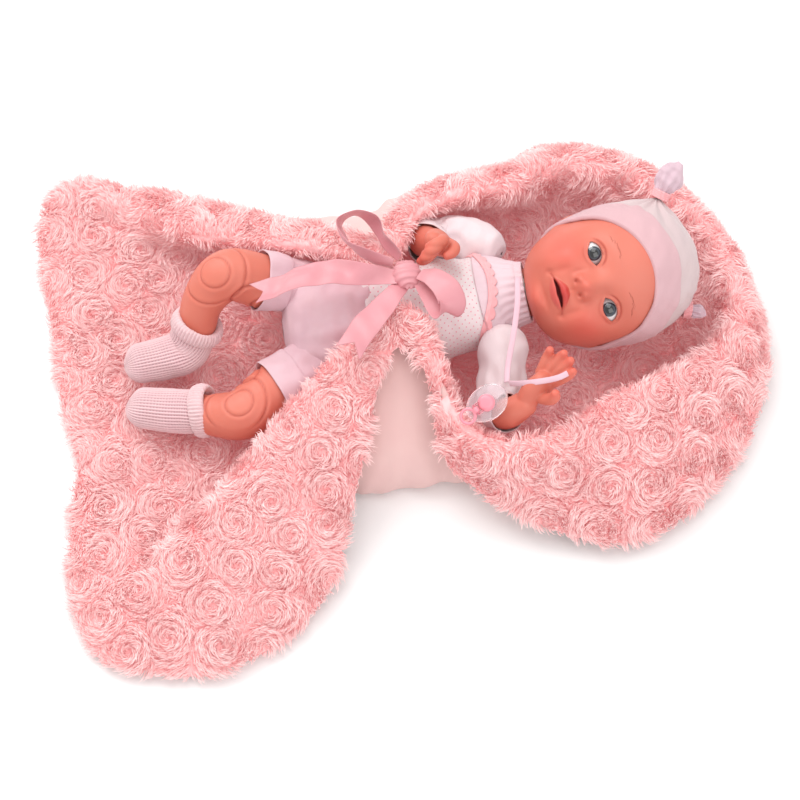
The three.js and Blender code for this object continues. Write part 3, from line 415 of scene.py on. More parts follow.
def paint(obj, name, values):
    """A colour (three columns) or a value (one column) stored on each point."""
    values = np.asarray(values, np.float32)
    if values.ndim == 1:
        layer = obj.data.attributes.new(name, "FLOAT", "POINT")
        layer.data.foreach_set("value", values)
        return
    layer = obj.data.color_attributes.new(name, "FLOAT_COLOR", "POINT")
    full = np.ones((len(values), 4), np.float32)
    full[:, :3] = values[:, :3]
    layer.data.foreach_set("color", full.ravel())


def grid_quads(rows, columns, closed):
    """Quads of a grid of points, row by row; closed joins the last column to the first."""
    row = np.arange(rows - 1)[:, None] * columns
    here = np.arange(columns if closed else columns - 1)[None, :]
    after = (here + 1) % columns
    return np.stack([row + here, row + after, row + columns + after, row + columns + here], -1).reshape(-1, 4)


def spline(values, per_step, closed):
    """A smooth curve through the rows of values, with per_step points from each row to the next."""
    values = np.asarray(values, float)
    count = len(values)
    if closed:
        index = np.arange(count)
        before, here, after, last = (values[(index + k) % count] for k in (-1, 0, 1, 2))
    else:
        padded = np.concatenate([[2 * values[0] - values[1]], values, [2 * values[-1] - values[-2]]])
        before, here, after, last = (padded[k : count - 1 + k] for k in range(4))
    t = (np.arange(per_step) / per_step).reshape((1, -1) + (1,) * (values.ndim - 1))
    before, here, after, last = (v[:, None] for v in (before, here, after, last))
    line = here + 0.5 * t * (
        after - before + t * (
            2 * before - 5 * here + 4 * after - last + t * (3 * (here - after) + last - before)
        )
    )
    line = line.reshape((-1,) + values.shape[1:])
    return line if closed else np.concatenate([line, values[-1:]])


def unit(v):
    return v / np.maximum(np.linalg.norm(v, axis=-1, keepdims=True), 1e-9)


def grid_normals(grid, closed):
    """Normals of a grid [rows, columns, 3]: along the rows' direction crossed with along the columns'."""
    down = np.gradient(grid, axis=0)
    if closed:
        across = (np.roll(grid, -1, 1) - np.roll(grid, 1, 1)) / 2
    else:
        across = np.gradient(grid, axis=1)
    return unit(np.cross(down, across))


def smooth_noise(points, scale, seed):
    """Soft random values from -1 to 1 that change over about scale millimetres."""
    local = np.random.default_rng(seed)
    total = np.zeros(len(points))
    for _ in range(9):
        direction = unit(local.normal(size=3)) * local.uniform(0.6, 1.5) * 2 * math.pi / scale
        total += np.sin(points @ direction + local.uniform(0, 2 * math.pi))
    return total / 3.2


def bell(distance, width):
    return np.exp(-((distance / width) ** 2))


def step(a, b, x):
    t = np.clip((x - a) / (b - a), 0, 1)
    return t * t * (3 - 2 * t)


def finish_piece(obj, slot, body, *nodes):
    """Every made piece hides the nodes it stands for and moves with the body it is attached to; its slot is
    not used.
    """
    nodes = [n for n in nodes if n]
    if nodes:
        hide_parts(*nodes)
    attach(obj, body)


# ---- Camera, light and floor ----
AIM = Vector((-0.0165, -0.048, 0.022))
AZIMUTH = math.radians(-9)
ELEVATION = math.radians(62)
DISTANCE = 1.45
LENS = 108.5
SENSOR = 36
FLOOR_DROP = 0.0005  # keeps the floor clear of the blanket's underside
# Each light: name, place, size, power and colour.
LIGHTS = [
    ("key", (-0.9, 1.3, 1.9), 1.6, 34, (1.0, 0.985, 0.97)),
    ("fill", (0.6, -1.6, 1.5), 1.8, 15, (1.0, 0.99, 0.98)),
    ("top", (0.1, 0.2, 2.4), 1.6, 14, (1.0, 1.0, 1.0)),
]
SKY = (1, 0.985, 0.98, 1)
SKY_STRENGTH = 0.75


def aimed(obj, place):
    """Puts a camera or a light at a place, facing the doll."""
    obj.location = place
    obj.rotation_mode = "QUATERNION"
    obj.rotation_quaternion = (AIM - Vector(place)).to_track_quat("-Z", "Y")
    bpy.context.scene.collection.objects.link(obj)


def make_stage():
    camera = bpy.data.objects.new("camera", bpy.data.cameras.new("camera"))
    back = Vector((
        math.sin(AZIMUTH) * math.cos(ELEVATION),
        -math.cos(AZIMUTH) * math.cos(ELEVATION),
        math.sin(ELEVATION),
    ))
    aimed(camera, AIM + back * DISTANCE)
    camera.data.lens = LENS
    camera.data.sensor_width = SENSOR
    bpy.context.scene.camera = camera

    bpy.ops.mesh.primitive_plane_add(size=8, location=(0, 0, -FLOOR_DROP))
    floor = bpy.context.object
    floor.name = "floor"
    white = Nodes("white_floor")
    white.set(Base_Color=(0.9, 0.9, 0.9, 1), Roughness=0.9, Specular_IOR_Level=0.1)
    floor.data.materials.append(white.material)

    for name, place, size, power, colour in LIGHTS:
        data = bpy.data.lights.new(name, "AREA")
        data.size = size
        data.energy = power
        data.color = colour
        aimed(bpy.data.objects.new(name, data), place)
    world = bpy.data.worlds.new("studio")
    world.use_nodes = True
    world.node_tree.nodes["Background"].inputs["Color"].default_value = SKY
    world.node_tree.nodes["Background"].inputs["Strength"].default_value = SKY_STRENGTH
    bpy.context.scene.world = world
    bpy.context.scene.view_settings.view_transform = "Standard"


make_stage()


# ---- Blanket ----
FIRST_UNEVEN_RING = 4  # up to here the rings are flat, and turning about the middle is enough to order them


def mesh_graph(node):
    """A CAD node's points, joined where they coincide, and for each the points its faces join it to."""
    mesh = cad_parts[node].data
    co = np.array([v.co for v in mesh.vertices]) / MM
    points, index = np.unique(np.round(co, 3), axis=0, return_inverse=True)
    index = index.ravel()
    neighbours = [set() for _ in points]
    for polygon in mesh.polygons:
        corners = [index[i] for i in polygon.vertices]
        for a, b in zip(corners, corners[1:] + corners[:1]):
            neighbours[a].add(b)
            neighbours[b].add(a)
    return points, neighbours


def steps_from(start, neighbours):
    """How many edges each point is from the start."""
    steps = {start: 0}
    frontier = [start]
    while frontier:
        following = []
        for i in frontier:
            for j in neighbours[i]:
                if j not in steps:
                    steps[j] = steps[i] + 1
                    following.append(j)
        frontier = following
    return steps


def sheet_rows(node):
    """The upper side of the lining as rings of points from its middle to its hem, read from the CAD node."""
    points, neighbours = mesh_graph(node)
    columns = max(len(n) for n in neighbours)
    poles = [i for i, n in enumerate(neighbours) if len(n) == columns]
    top = max(poles, key=lambda i: points[i][2])
    ring_of = steps_from(top, neighbours)
    rings = (len(points) - 2) // columns // 2
    middle = points[top]
    rows = [np.repeat(middle[None], columns, 0)]
    members = [i for i, r in ring_of.items() if r == 1]
    start = max(members, key=lambda i: points[i][0])
    for ring in range(1, rings + 1):
        ahead = [j for j in neighbours[start] if ring_of[j] == ring]
        turn = [np.cross(points[start] - middle, points[j] - middle)[2] for j in ahead]
        if ring < FIRST_UNEVEN_RING:
            second = ahead[int(np.argmax(turn))]
        else:
            second = nearest_turn(points, rows[-1], start, ahead)
        order = [start, second]
        while len(order) < columns:
            order.append(next(j for j in neighbours[order[-1]] if ring_of[j] == ring and j not in order[-2:]))
        rows.append(points[order])
        outward = [j for j in neighbours[start] if ring_of[j] == ring + 1]
        start = min(outward, key=lambda j: np.linalg.norm(points[j] - points[start]))
    return np.array(rows)


def nearest_turn(points, last_row, start, ahead):
    """Which of two neighbours goes round the same way as the ring before."""
    way = last_row[1] - last_row[0]
    return max(ahead, key=lambda j: float(np.dot(points[j] - points[start], way)))


ROW_STEPS = 12
COLUMN_STEPS = 8


class Sheet:
    """The surface where plush and lining meet, as a smooth dense grid with normals towards the plush."""

    def __init__(self):
        rows = sheet_rows("blanket_lining")
        across = spline(np.swapaxes(rows, 0, 1), COLUMN_STEPS, True)
        self.grid = spline(np.swapaxes(across, 0, 1), ROW_STEPS, False)
        self.grid[..., 2] = np.maximum(self.grid[..., 2], LINING)
        normals = grid_normals(self.grid, True)
        normals[0] = (0, 0, 1)
        for _ in range(3):
            normals[1:-1] = normals[1:-1] * 2 + normals[2:] + normals[:-2]
            normals = unit(normals + 0.5 * np.roll(normals, 1, 1) + 0.5 * np.roll(normals, -1, 1))
        if normals[1:5, :, 2].mean() < 0:
            normals = -normals
        self.normals = normals
        self.rows, self.columns = self.grid.shape[:2]
        self.outward = unit(self.grid[-1] - self.grid[-3])


sheet = Sheet()


def pick_apart(features, spacing, seed):
    """Indices of points that are at least spacing from each other."""
    order = np.random.default_rng(seed).permutation(len(features))
    chosen = []
    kept = np.zeros((0, features.shape[1]))
    for i in order:
        if len(kept) == 0 or ((kept - features[i]) ** 2).sum(1).min() > spacing**2:
            chosen.append(i)
            kept = features[chosen]
    return np.array(chosen)


class Roses:
    """The plush's roses: a centre and a turning sense for each, and the pile's shape round them."""

    NORMAL_REACH = 12.0
    PETAL = 5.6

    def __init__(self):
        points = sheet.grid[2:-2, ::2].reshape(-1, 3)
        normals = sheet.normals[2:-2, ::2].reshape(-1, 3)
        features = np.concatenate([points, normals * self.NORMAL_REACH], 1)
        chosen = pick_apart(features, ROSE, 3)
        self.features = features[chosen]
        self.centres = points[chosen]
        self.sense = np.where(rng.random(len(chosen)) < 0.5, 1.0, -1.0)
        self.start = rng.uniform(0, 1, len(chosen))
        self.pitch = self.PETAL * rng.uniform(0.8, 1.25, len(chosen))

    def at(self, points, normals):
        """For each point: how far it is from its rose, its share of the way to the next one, the ways out and
        round, and its place across a petal."""
        features = np.concatenate([points, normals * self.NORMAL_REACH], 1)
        nearest = np.zeros(len(points), int)
        first = np.zeros(len(points))
        second = np.zeros(len(points))
        for low in range(0, len(points), 20_000):
            part = slice(low, low + 20_000)
            square = (
                (features[part] ** 2).sum(1)[:, None]
                + (self.features**2).sum(1)[None]
                - 2 * features[part] @ self.features.T
            )
            two = np.argpartition(square, 1, axis=1)[:, :2]
            values = np.take_along_axis(square, two, 1)
            order = np.argsort(values, 1)
            two = np.take_along_axis(two, order, 1)
            values = np.sqrt(np.maximum(np.take_along_axis(values, order, 1), 0))
            nearest[part] = two[:, 0]
            first[part], second[part] = values[:, 0], values[:, 1]
        away = points - self.centres[nearest]
        away -= normals * (away * normals).sum(1, keepdims=True)
        distance = np.linalg.norm(away, axis=1)
        out = unit(away)
        round_ = np.cross(normals, out) * self.sense[nearest][:, None]
        share = first / np.maximum(first + second, 1e-6) * 2
        side = unit(np.cross(normals, np.array([0.31, 0.88, 0.36])))
        other = np.cross(normals, side)
        angle = np.arctan2((out * other).sum(1), (out * side).sum(1)) * self.sense[nearest]
        phase = angle / (2 * math.pi) + distance / self.pitch[nearest] + self.start[nearest]
        petal = phase - np.floor(phase)
        return distance, share, out, round_, petal

    def height(self, share, distance, petal):
        """0 in the grooves between petals and roses, 1 on the top of a petal."""
        ridge = np.sin(math.pi * np.clip(petal, 0, 1) ** 0.75) ** 0.8
        groove = 1 - 0.55 * step(0.78, 1.0, share)
        heart = 0.55 + 0.45 * step(0.5, 4.0, distance)
        return (0.3 + 0.7 * ridge) * groove * heart


roses = Roses()


def doll_tree():
    """The doll, its clothes and the bow as one surface that the pile gives way to."""
    points = []
    faces = []
    for name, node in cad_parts.items():
        if name.startswith("blanket"):
            continue
        base = len(points)
        points += [v.co / MM for v in node.data.vertices]
        faces += [tuple(base + i for i in p.vertices) for p in node.data.polygons]
    return BVHTree.FromPolygons(points, faces)


doll = doll_tree()


def room_along(points, directions, reach):
    """How far each point can go along its direction before it meets the doll."""
    out = np.full(len(points), float(reach))
    near = (points > np.array([-180, -105, 0])).all(1) & (points < np.array([190, 75, 110])).all(1)
    for i in np.nonzero(near)[0]:
        hit = doll.ray_cast(Vector(points[i]), Vector(directions[i]), reach)
        if hit[3] is not None:
            out[i] = hit[3]
    return out


def make_plush_back():
    """The plush's backing and the dense foot of its pile, with the roses raised in it."""
    grid, normals = sheet.grid, sheet.normals
    flat = grid.reshape(-1, 3)
    flat_normals = normals.reshape(-1, 3)
    distance, share, _, _, petal = roses.at(flat, flat_normals)
    height = PILE_BASE * (0.5 + 0.9 * roses.height(share, distance, petal))
    room = room_along(flat + flat_normals * 0.3, flat_normals, 8.0)
    height = np.minimum(height, np.maximum(room - 0.6, 0.25))
    top = (flat + flat_normals * (0.4 + height[:, None])).reshape(grid.shape)
    under = grid + normals * 0.4
    rim = (grid + normals * (0.4 + PILE_BASE * 0.4))[-1] + sheet.outward * 1.2
    stacked = np.concatenate([top, rim[None], under[::-1]])
    back = new_object("plush_backing", stacked, grid_quads(len(stacked), sheet.columns, True), PLUSH)
    # Painted shade: the backing is darkest in the grooves and lighter on the raised petals.
    pile_shading = np.concatenate([
        0.06 + 0.3 * height / (PILE_BASE * 1.4),
        np.full(sheet.columns * (1 + sheet.rows), 0.3),
    ])
    paint(back, "pile_shading", pile_shading)
    finish_piece(back, "plush", ROOT, "blanket_plush")
    return back


def strand_roots(count):
    """Points spread evenly over the sheet, with their normals and how close each is to the hem."""
    grid, normals = sheet.grid, sheet.normals
    a = grid[:-1]
    b = np.roll(grid, -1, 1)[:-1]
    c = np.roll(grid, -1, 1)[1:]
    d = grid[1:]
    area = 0.5 * np.linalg.norm(np.cross(c - a, d - b), axis=-1)
    share = np.cumsum(area.ravel()) / area.sum()
    cell = np.searchsorted(share, rng.random(count))
    row, column = np.unravel_index(cell, area.shape)
    u = rng.random((count, 1))
    v = rng.random((count, 1))
    nxt = (column + 1) % sheet.columns

    def blend(field):
        upper = field[row, column] * (1 - u) + field[row, nxt] * u
        lower = field[row + 1, column] * (1 - u) + field[row + 1, nxt] * u
        return upper * (1 - v) + lower * v

    hem = np.clip((row - (sheet.rows - 1 - ROW_STEPS * 0.35)) / (ROW_STEPS * 0.35), 0, 1)
    return blend(grid), unit(blend(normals)), sheet.outward[column], hem


STRAND_PARTS = (0.4, 0.35, 0.25)  # of a strand's length, in three straight parts
STRAND_TAPER = (1.0, 0.95, 0.7)  # a strand's width at its root and at its two bends
SHORTEST_STRAND = 1.3
PILE_FLOOR = 0.4  # no strand goes lower than this


def strand_lines(count):
    """Strands of four points that curl round their rose, their normals, rises and nearness to the hem."""
    root, normal, outward, hem = strand_roots(count)
    distance, share, out, round_, petal = roses.at(root, normal)
    height = roses.height(share, distance, petal)
    jitter = rng.normal(size=(count, 3)) * 0.22
    lift = 0.25 + 0.55 * height[:, None]
    gather = ((0.45 - petal) * 1.1)[:, None]
    hem_lean = outward * (hem * 0.9)[:, None]
    start = unit(normal + round_ * 0.35 + jitter * 0.6 + hem_lean)
    curl = unit(normal * lift + round_ + out * (gather - 0.12) + jitter + hem_lean)
    tip = unit(normal * (lift - 0.25) + round_ * 0.9 - out * (0.55 - gather) + jitter + hem_lean * 0.6)
    length = PILE * (0.5 + 0.6 * height) * rng.uniform(0.75, 1.15, count)
    length *= 1 + 0.12 * smooth_noise(root, 46, 5)
    base = root + normal * (0.4 + PILE_BASE * 0.45)
    room = room_along(base - normal * 1.2, unit(start + curl * 0.6), PILE * 1.3) - 1.2
    length *= np.clip((room - 0.9) / np.maximum(length * 0.8, 1e-6), 0, 1)
    line = [base]
    for share_of, direction in zip(STRAND_PARTS, (start, curl, tip)):
        following = line[-1] + direction * (length * share_of)[:, None]
        following[:, 2] = np.maximum(following[:, 2], PILE_FLOOR)
        line.append(following)
    keep = length > SHORTEST_STRAND
    return np.stack(line, 1)[keep], normal[keep], height[keep], hem[keep]


def strand_blades(line, normal):
    """Seven points of a narrow tapered blade along each strand, turned at random about it."""
    spin = rng.uniform(0, math.pi, len(line))
    along = line[:, 3] - line[:, 0]
    side = unit(np.cross(along, normal) + 1e-6)
    other = unit(np.cross(along, side))
    wide = unit(side * np.cos(spin)[:, None] + other * np.sin(spin)[:, None] * 0.7)
    half = rng.uniform(0.24, 0.4, len(line))[:, None]
    points = []
    for bend, taper in enumerate(STRAND_TAPER):
        points += [line[:, bend] + wide * half * taper, line[:, bend] - wide * half * taper]
    return np.stack(points + [line[:, 3]], 1)


def make_strands():
    """The pile in pieces from the foot end to the head end."""
    line, normal, height, hem = strand_lines(STRANDS)
    points = strand_blades(line, normal)
    count = len(line)
    shade = rng.normal(0, 0.07, count)
    # Painted shade and light: each strand is coral at its foot and pales towards its tip, more on high petals
    # and near the hem, with a random tone for each strand.
    rise = np.array([0.0, 0.0, 0.4, 0.4, 0.75, 0.75, 1.0])
    pile_shading = 0.2 + 0.6 * rise[None] * (0.45 + 0.6 * height[:, None]) + shade[:, None]
    pile_shading = np.clip(pile_shading + 0.12 * hem[:, None], 0, 1)
    group = (np.arange(count) * max(1, math.ceil(count / STRANDS_PER_PIECE))) // count
    order = np.argsort(line[:, 0, 0], kind="stable")
    pieces = []
    for number in range(group.max() + 1):
        chosen = order[group == number]
        first = np.arange(len(chosen))[:, None] * 7
        quads = np.concatenate([first + [0, 1, 3, 2], first + [2, 3, 5, 4]])
        pile = new_object(f"plush_pile_{number + 1}", points[chosen], quads, PLUSH, first + [4, 5, 6])
        paint(pile, "pile_shading", pile_shading[chosen].ravel())
        finish_piece(pile, "plush", ROOT)
        pieces.append(pile)
    return pieces


def make_lining():
    """The lining: a smooth knit under the plush, with soft wrinkles where it is drawn in at the waist."""
    grid, normals = sheet.grid, sheet.normals
    flat = grid.reshape(-1, 3)
    upright = 1 - np.abs(normals.reshape(-1, 3)[:, 2])
    waist = bell(flat[:, 0] + 8, 46)
    around = np.arctan2(flat[:, 1], flat[:, 0] + 8)
    folds = np.sin(around * 38 + smooth_noise(flat, 60, 11) * 2.2) * waist * upright * 1.5
    folds += smooth_noise(flat, 34, 12) * 0.7 * upright
    outer = flat - normals.reshape(-1, 3) * (LINING + 0.2 + folds[:, None])
    outer[:, 2] = np.maximum(outer[:, 2], 0)
    outer = outer.reshape(grid.shape)
    rim = (grid - normals * 0.9)[-1] + sheet.outward * 1.0
    inner = grid - normals * 0.15
    stacked = np.concatenate([inner, rim[None], outer[::-1]])
    quads = grid_quads(len(stacked), sheet.columns, True)
    uv = stacked.reshape(-1, 3)[:, :2] + stacked.reshape(-1, 3)[:, 2:] * 0.7
    lining = new_object("blanket_lining_cloth", stacked, quads, LINING_CLOTH, uv=uv)
    finish_piece(lining, "lining", ROOT, "blanket_lining")
    return lining


plush_back = make_plush_back()
pile_pieces = make_strands()
lining = make_lining()


# ---- Tubes, capsules and cloth made from paths ----
def rotation(degrees):
    """Turns about X, then Y, then Z of the turned axes, as in the part's own source."""
    x, y, z = (math.radians(v) for v in degrees)
    return np.array(Matrix.Rotation(x, 3, "X") @ Matrix.Rotation(y, 3, "Y") @ Matrix.Rotation(z, 3, "Z"))


UPRIGHT = (0, 0, 1)


def path_lengths(path):
    """How far along a line each of its points is."""
    return np.concatenate([[0], np.cumsum(np.linalg.norm(np.diff(path, axis=0), axis=1))])


def joined(parts):
    """Several meshes, each its points and quads, as one."""
    starts = np.cumsum([0] + [len(points) for points, _ in parts[:-1]])
    quads = [np.asarray(quads) + start for (_, quads), start in zip(parts, starts)]
    return np.concatenate([points for points, _ in parts]), np.concatenate(quads)


def tube_grid(stations, up, per_step, around):
    """Rings of points along smooth stations (place, then one or two radii), and each point's way outward."""
    line = spline(np.asarray(stations, float), per_step, False)
    path = line[:, :3]
    across = line[:, 3]
    high = line[:, 4] if line.shape[1] > 4 else across
    tangent = unit(np.gradient(path, axis=0))
    side = unit(np.cross(np.asarray(up, float), tangent))
    top = np.cross(tangent, side)
    angle = full_turn(around)
    cos, sin = np.cos(angle)[None, :, None], np.sin(angle)[None, :, None]
    ring = side[:, None] * cos * across[:, None, None] + top[:, None] * sin * high[:, None, None]
    out = unit(side[:, None] * cos / across[:, None, None] + top[:, None] * sin / high[:, None, None])
    return path[:, None] + ring, out, tangent, path_lengths(path), angle


def capsule(stations, up, per_step, around):
    """A closed tube with rounded ends, as points and quads."""
    grid, _, tangent, _, _ = tube_grid(stations, up, per_step, around)
    rows = []
    for end, way in ((0, -1), (-1, 1)):
        centre = grid[end].mean(0)
        spokes = grid[end] - centre
        radius = np.linalg.norm(spokes, axis=1).mean()
        bulge = radius * 0.75
        cap = []
        for turn in np.linspace(0.3, 1.56, 6):
            cap.append(centre + spokes * math.cos(turn) + tangent[end] * way * bulge * math.sin(turn))
        rows.append(np.array(cap))
    stacked = np.concatenate([rows[0][::-1], grid, rows[1]])
    return stacked.reshape(-1, 3), grid_quads(len(stacked), around, True)


def torus_quads(rows, columns):
    """Quads of a grid that closes on itself both ways."""
    quads = grid_quads(rows, columns, True)
    last = np.arange(columns)
    closing = np.stack([last + (rows - 1) * columns, (last + 1) % columns + (rows - 1) * columns,
                        (last + 1) % columns, last], -1)
    return np.concatenate([quads, closing])


def cloth_tube(name, grid, out, along, angle, thickness, material, node=None, body=ROOT, slot="jersey"):
    """Cloth with an inside, an outside and rounded hems."""
    inner = grid - out * thickness
    lip = thickness * 0.6
    first = (grid[0] + inner[0]) / 2 + unit(grid[0] - grid[1]) * lip
    last = (grid[-1] + inner[-1]) / 2 + unit(grid[-1] - grid[-2]) * lip
    stacked = np.concatenate([first[None], grid, last[None], inner[::-1]])
    radius = np.linalg.norm(grid - grid.mean(1, keepdims=True), axis=-1).mean()
    seam = np.abs(angle - math.pi) * radius
    flat = np.concatenate([along[:1], along, along[-1:], along[::-1]])
    uv = together(seam[None, :], flat[:, None])
    cloth = new_object(name, stacked, torus_quads(len(stacked), grid.shape[1]), material, uv=uv)
    finish_piece(cloth, slot, body, node)


def fused(name, parts, voxel, rounds):
    """Overlapping closed meshes as one smooth skin: its points, normals and quads in millimetres."""
    rough = new_object(name + "_rough", *joined(parts), SKIN)
    remesh = rough.modifiers.new("remesh", "REMESH")
    remesh.mode = "VOXEL"
    remesh.voxel_size = voxel * MM
    smooth = rough.modifiers.new("smooth", "SMOOTH")
    smooth.iterations = rounds
    smooth.factor = 0.5
    shown = rough.evaluated_get(bpy.context.evaluated_depsgraph_get())
    mesh = shown.to_mesh()
    co = np.zeros(len(mesh.vertices) * 3)
    mesh.vertices.foreach_get("co", co)
    normal = np.zeros(len(mesh.vertices) * 3)
    mesh.vertices.foreach_get("normal", normal)
    loops = np.zeros(len(mesh.loops), np.int32)
    mesh.loops.foreach_get("vertex_index", loops)
    shown.to_mesh_clear()
    bpy.data.objects.remove(rough)
    return co.reshape(-1, 3) / MM, normal.reshape(-1, 3), loops.reshape(-1, 4)


# ---- Colours of the vinyl ----
SKIN_BASE = rgb(211, 119, 101)
SKIN_PALE = rgb(217, 129, 112)
SKIN_BLUSH = rgb(220, 101, 88)
SKIN_DEEP = rgb(174, 72, 60)
UPPER_LIP = rgb(196, 62, 62)
LOWER_LIP = rgb(216, 92, 90)
MOUTH_DARK = rgb(92, 24, 30)
LASH_LINE = rgb(70, 40, 38)
EYE_WHITE = rgb(226, 222, 224)
IRIS_RIM = rgb(30, 34, 44)
IRIS = rgb(60, 68, 80)
PUPIL = rgb(6, 7, 9)


def tint(colours, target, amount):
    """Colours moved towards a target by an amount for each point."""
    return colours + (target - colours) * np.clip(amount, 0, 1)[:, None]


# ---- Head ----
HEAD_AXES = rotation(HEAD_TURN)
JAW = (54.5, 38.5)
JAW_POWER = 2.8
DEPTH_POWER = 2.4
EYE_SIDE = 17.0
LID = 1.0
# Raised and sunken places: centre, widths and height, in the frontal view of the face.
FACE_FORMS = [
    (-13.0, 0.0, 8.0, 4.4, 1.6),
    (-20.8, 0.0, 5.4, 5.4, 6.3),
    (-23.2, 5.4, 3.0, 2.4, 2.5),
    (-25.4, 4.3, 1.2, 1.5, -2.6),
    (-29.0, 0.0, 2.4, 7.0, -1.1),
    (-28.5, 0.0, 2.6, 1.3, -0.5),
    (-22.5, 9.6, 4.0, 1.7, -0.9),
    (-36.5, 0.0, 8.5, 12.0, 2.6),
    (-44.6, 0.0, 1.7, 7.5, -2.0),
    (-50.0, 0.0, 4.6, 8.5, 5.0),
    (-27.0, 22.0, 10.5, 10.0, 3.4),
    (-39.5, 21.0, 7.5, 8.5, 2.2),
    (-32.0, 13.0, 6.5, 2.2, -0.8),
    (-38.9, 13.4, 1.9, 1.8, -1.3),
    (-10.5, 17.5, 8.5, 10.0, -3.4),
    (-11.5, 8.0, 4.5, 3.2, -1.3),
    (2.0, 17.0, 5.0, 10.0, 0.9),
    (14.0, 0.0, 14.0, 22.0, 1.2),
]


def head_base(direction):
    """The head without features, for unit directions in its own frame, with the ways outward."""
    x, y, z = direction.T
    a, b, c = HEAD_RADII
    egg = 1 / np.sqrt((x / a) ** 2 + (y / b) ** 2 + (z / c) ** 2)
    block = np.abs(x / JAW[0]) ** JAW_POWER + np.abs(y / JAW[1]) ** JAW_POWER
    jaw = (block ** (DEPTH_POWER / JAW_POWER) + np.abs(z / c) ** DEPTH_POWER) ** (-1 / DEPTH_POWER)
    share = step(0.25, -0.35, x) * step(-0.35, 0.15, z)
    point = direction * (egg + (jaw - egg) * share)[:, None]
    low = np.minimum(x, 0) ** 2
    point[:, 2] *= 1 - 0.3 * low * (z < 0)
    point[:, 1] *= 1 - 0.1 * low * (1 - share)
    out = unit(point / np.array([a, b, c]) ** 2)
    return point, out


def mouth_lines(y):
    """The parting, the top of the upper lip, the foot of the lower lip and half the gap, across the mouth."""
    far = np.abs(y)
    parting = -36.4 - 1.8 * (far / 12.4) ** 2 - 0.35 * bell(far, 2.2)
    top = -30.2 - 7.4 * np.clip(far / 11.2, 0, 1.3) ** 1.6 - 0.6 * bell(y, 1.3)
    foot = -41.8 + 3.6 * np.clip(far / 10.6, 0, 1.3) ** 2.2
    gap_half = 1.35 * np.clip(1 - (far / 9.6) ** 2, 0, 1)
    return parting, top, foot, gap_half


def almond(angle):
    """The eye opening's radius by angle from up (crown) towards outward."""
    t = np.linspace(-1, 1, 241)
    upper = 4.4 * (1 - np.abs(t) ** 2.3) ** 0.85
    lower = -3.5 * (1 - np.abs(t) ** 2.0) ** 1.0
    across = 7.3 * t
    corner = -0.5 * np.maximum(-t, 0) ** 3
    outline_up = np.concatenate([upper + corner, (lower + corner)[::-1]])
    outline_out = np.concatenate([across, across[::-1]])
    turn = np.mod(np.arctan2(outline_out, outline_up), 2 * math.pi)
    order = np.argsort(turn)
    reach = np.hypot(outline_up, outline_out)[order]
    return np.interp(np.mod(angle, 2 * math.pi), turn[order], reach, period=2 * math.pi)


def face_colours(x, y, front, mouth):
    """The face's paint in the frontal view: forehead, cheeks, chin, nose, lips and the parted mouth, with
    painted shade in the nostrils and along the lips' parting.
    """
    reach, parting, top, foot, from_gap, inside = mouth
    colours = np.repeat(SKIN_BASE[None], len(x), 0)
    colours = tint(colours, SKIN_PALE, 0.55 * bell(x - 12, 18) * front)
    cheek = bell(x + 27, 12) * (bell(y - 23, 11) + bell(y + 23, 11))
    colours = tint(colours, SKIN_BLUSH, 0.75 * cheek * front)
    colours = tint(colours, SKIN_BLUSH, 0.55 * bell(x + 50, 5) * bell(y, 10) * front)
    colours = tint(colours, SKIN_BLUSH, 0.4 * bell(x + 21, 4) * bell(y, 6) * front)
    # Painted shade in the nostrils.
    nostril = bell(x + 25.6, 1.4) * (bell(y - 4.3, 1.4) + bell(y + 4.3, 1.4))
    colours = tint(colours, SKIN_DEEP, 0.35 * nostril * front)
    lip_mask = reach * step(-0.3, 0.8, top - x) * step(-0.3, 0.8, x - foot) * (np.abs(y) < 11.4) * front
    colours = tint(colours, UPPER_LIP, 0.9 * lip_mask * (x > parting))
    colours = tint(colours, LOWER_LIP, 0.75 * lip_mask * (x <= parting))
    colours = tint(colours, MOUTH_DARK, inside * 1.1 * front)
    # Painted shade along the line where the lips part.
    return tint(colours, SKIN_DEEP, 0.6 * bell(from_gap, 0.6) * (np.abs(y) < 13) * (1 - inside) * front)


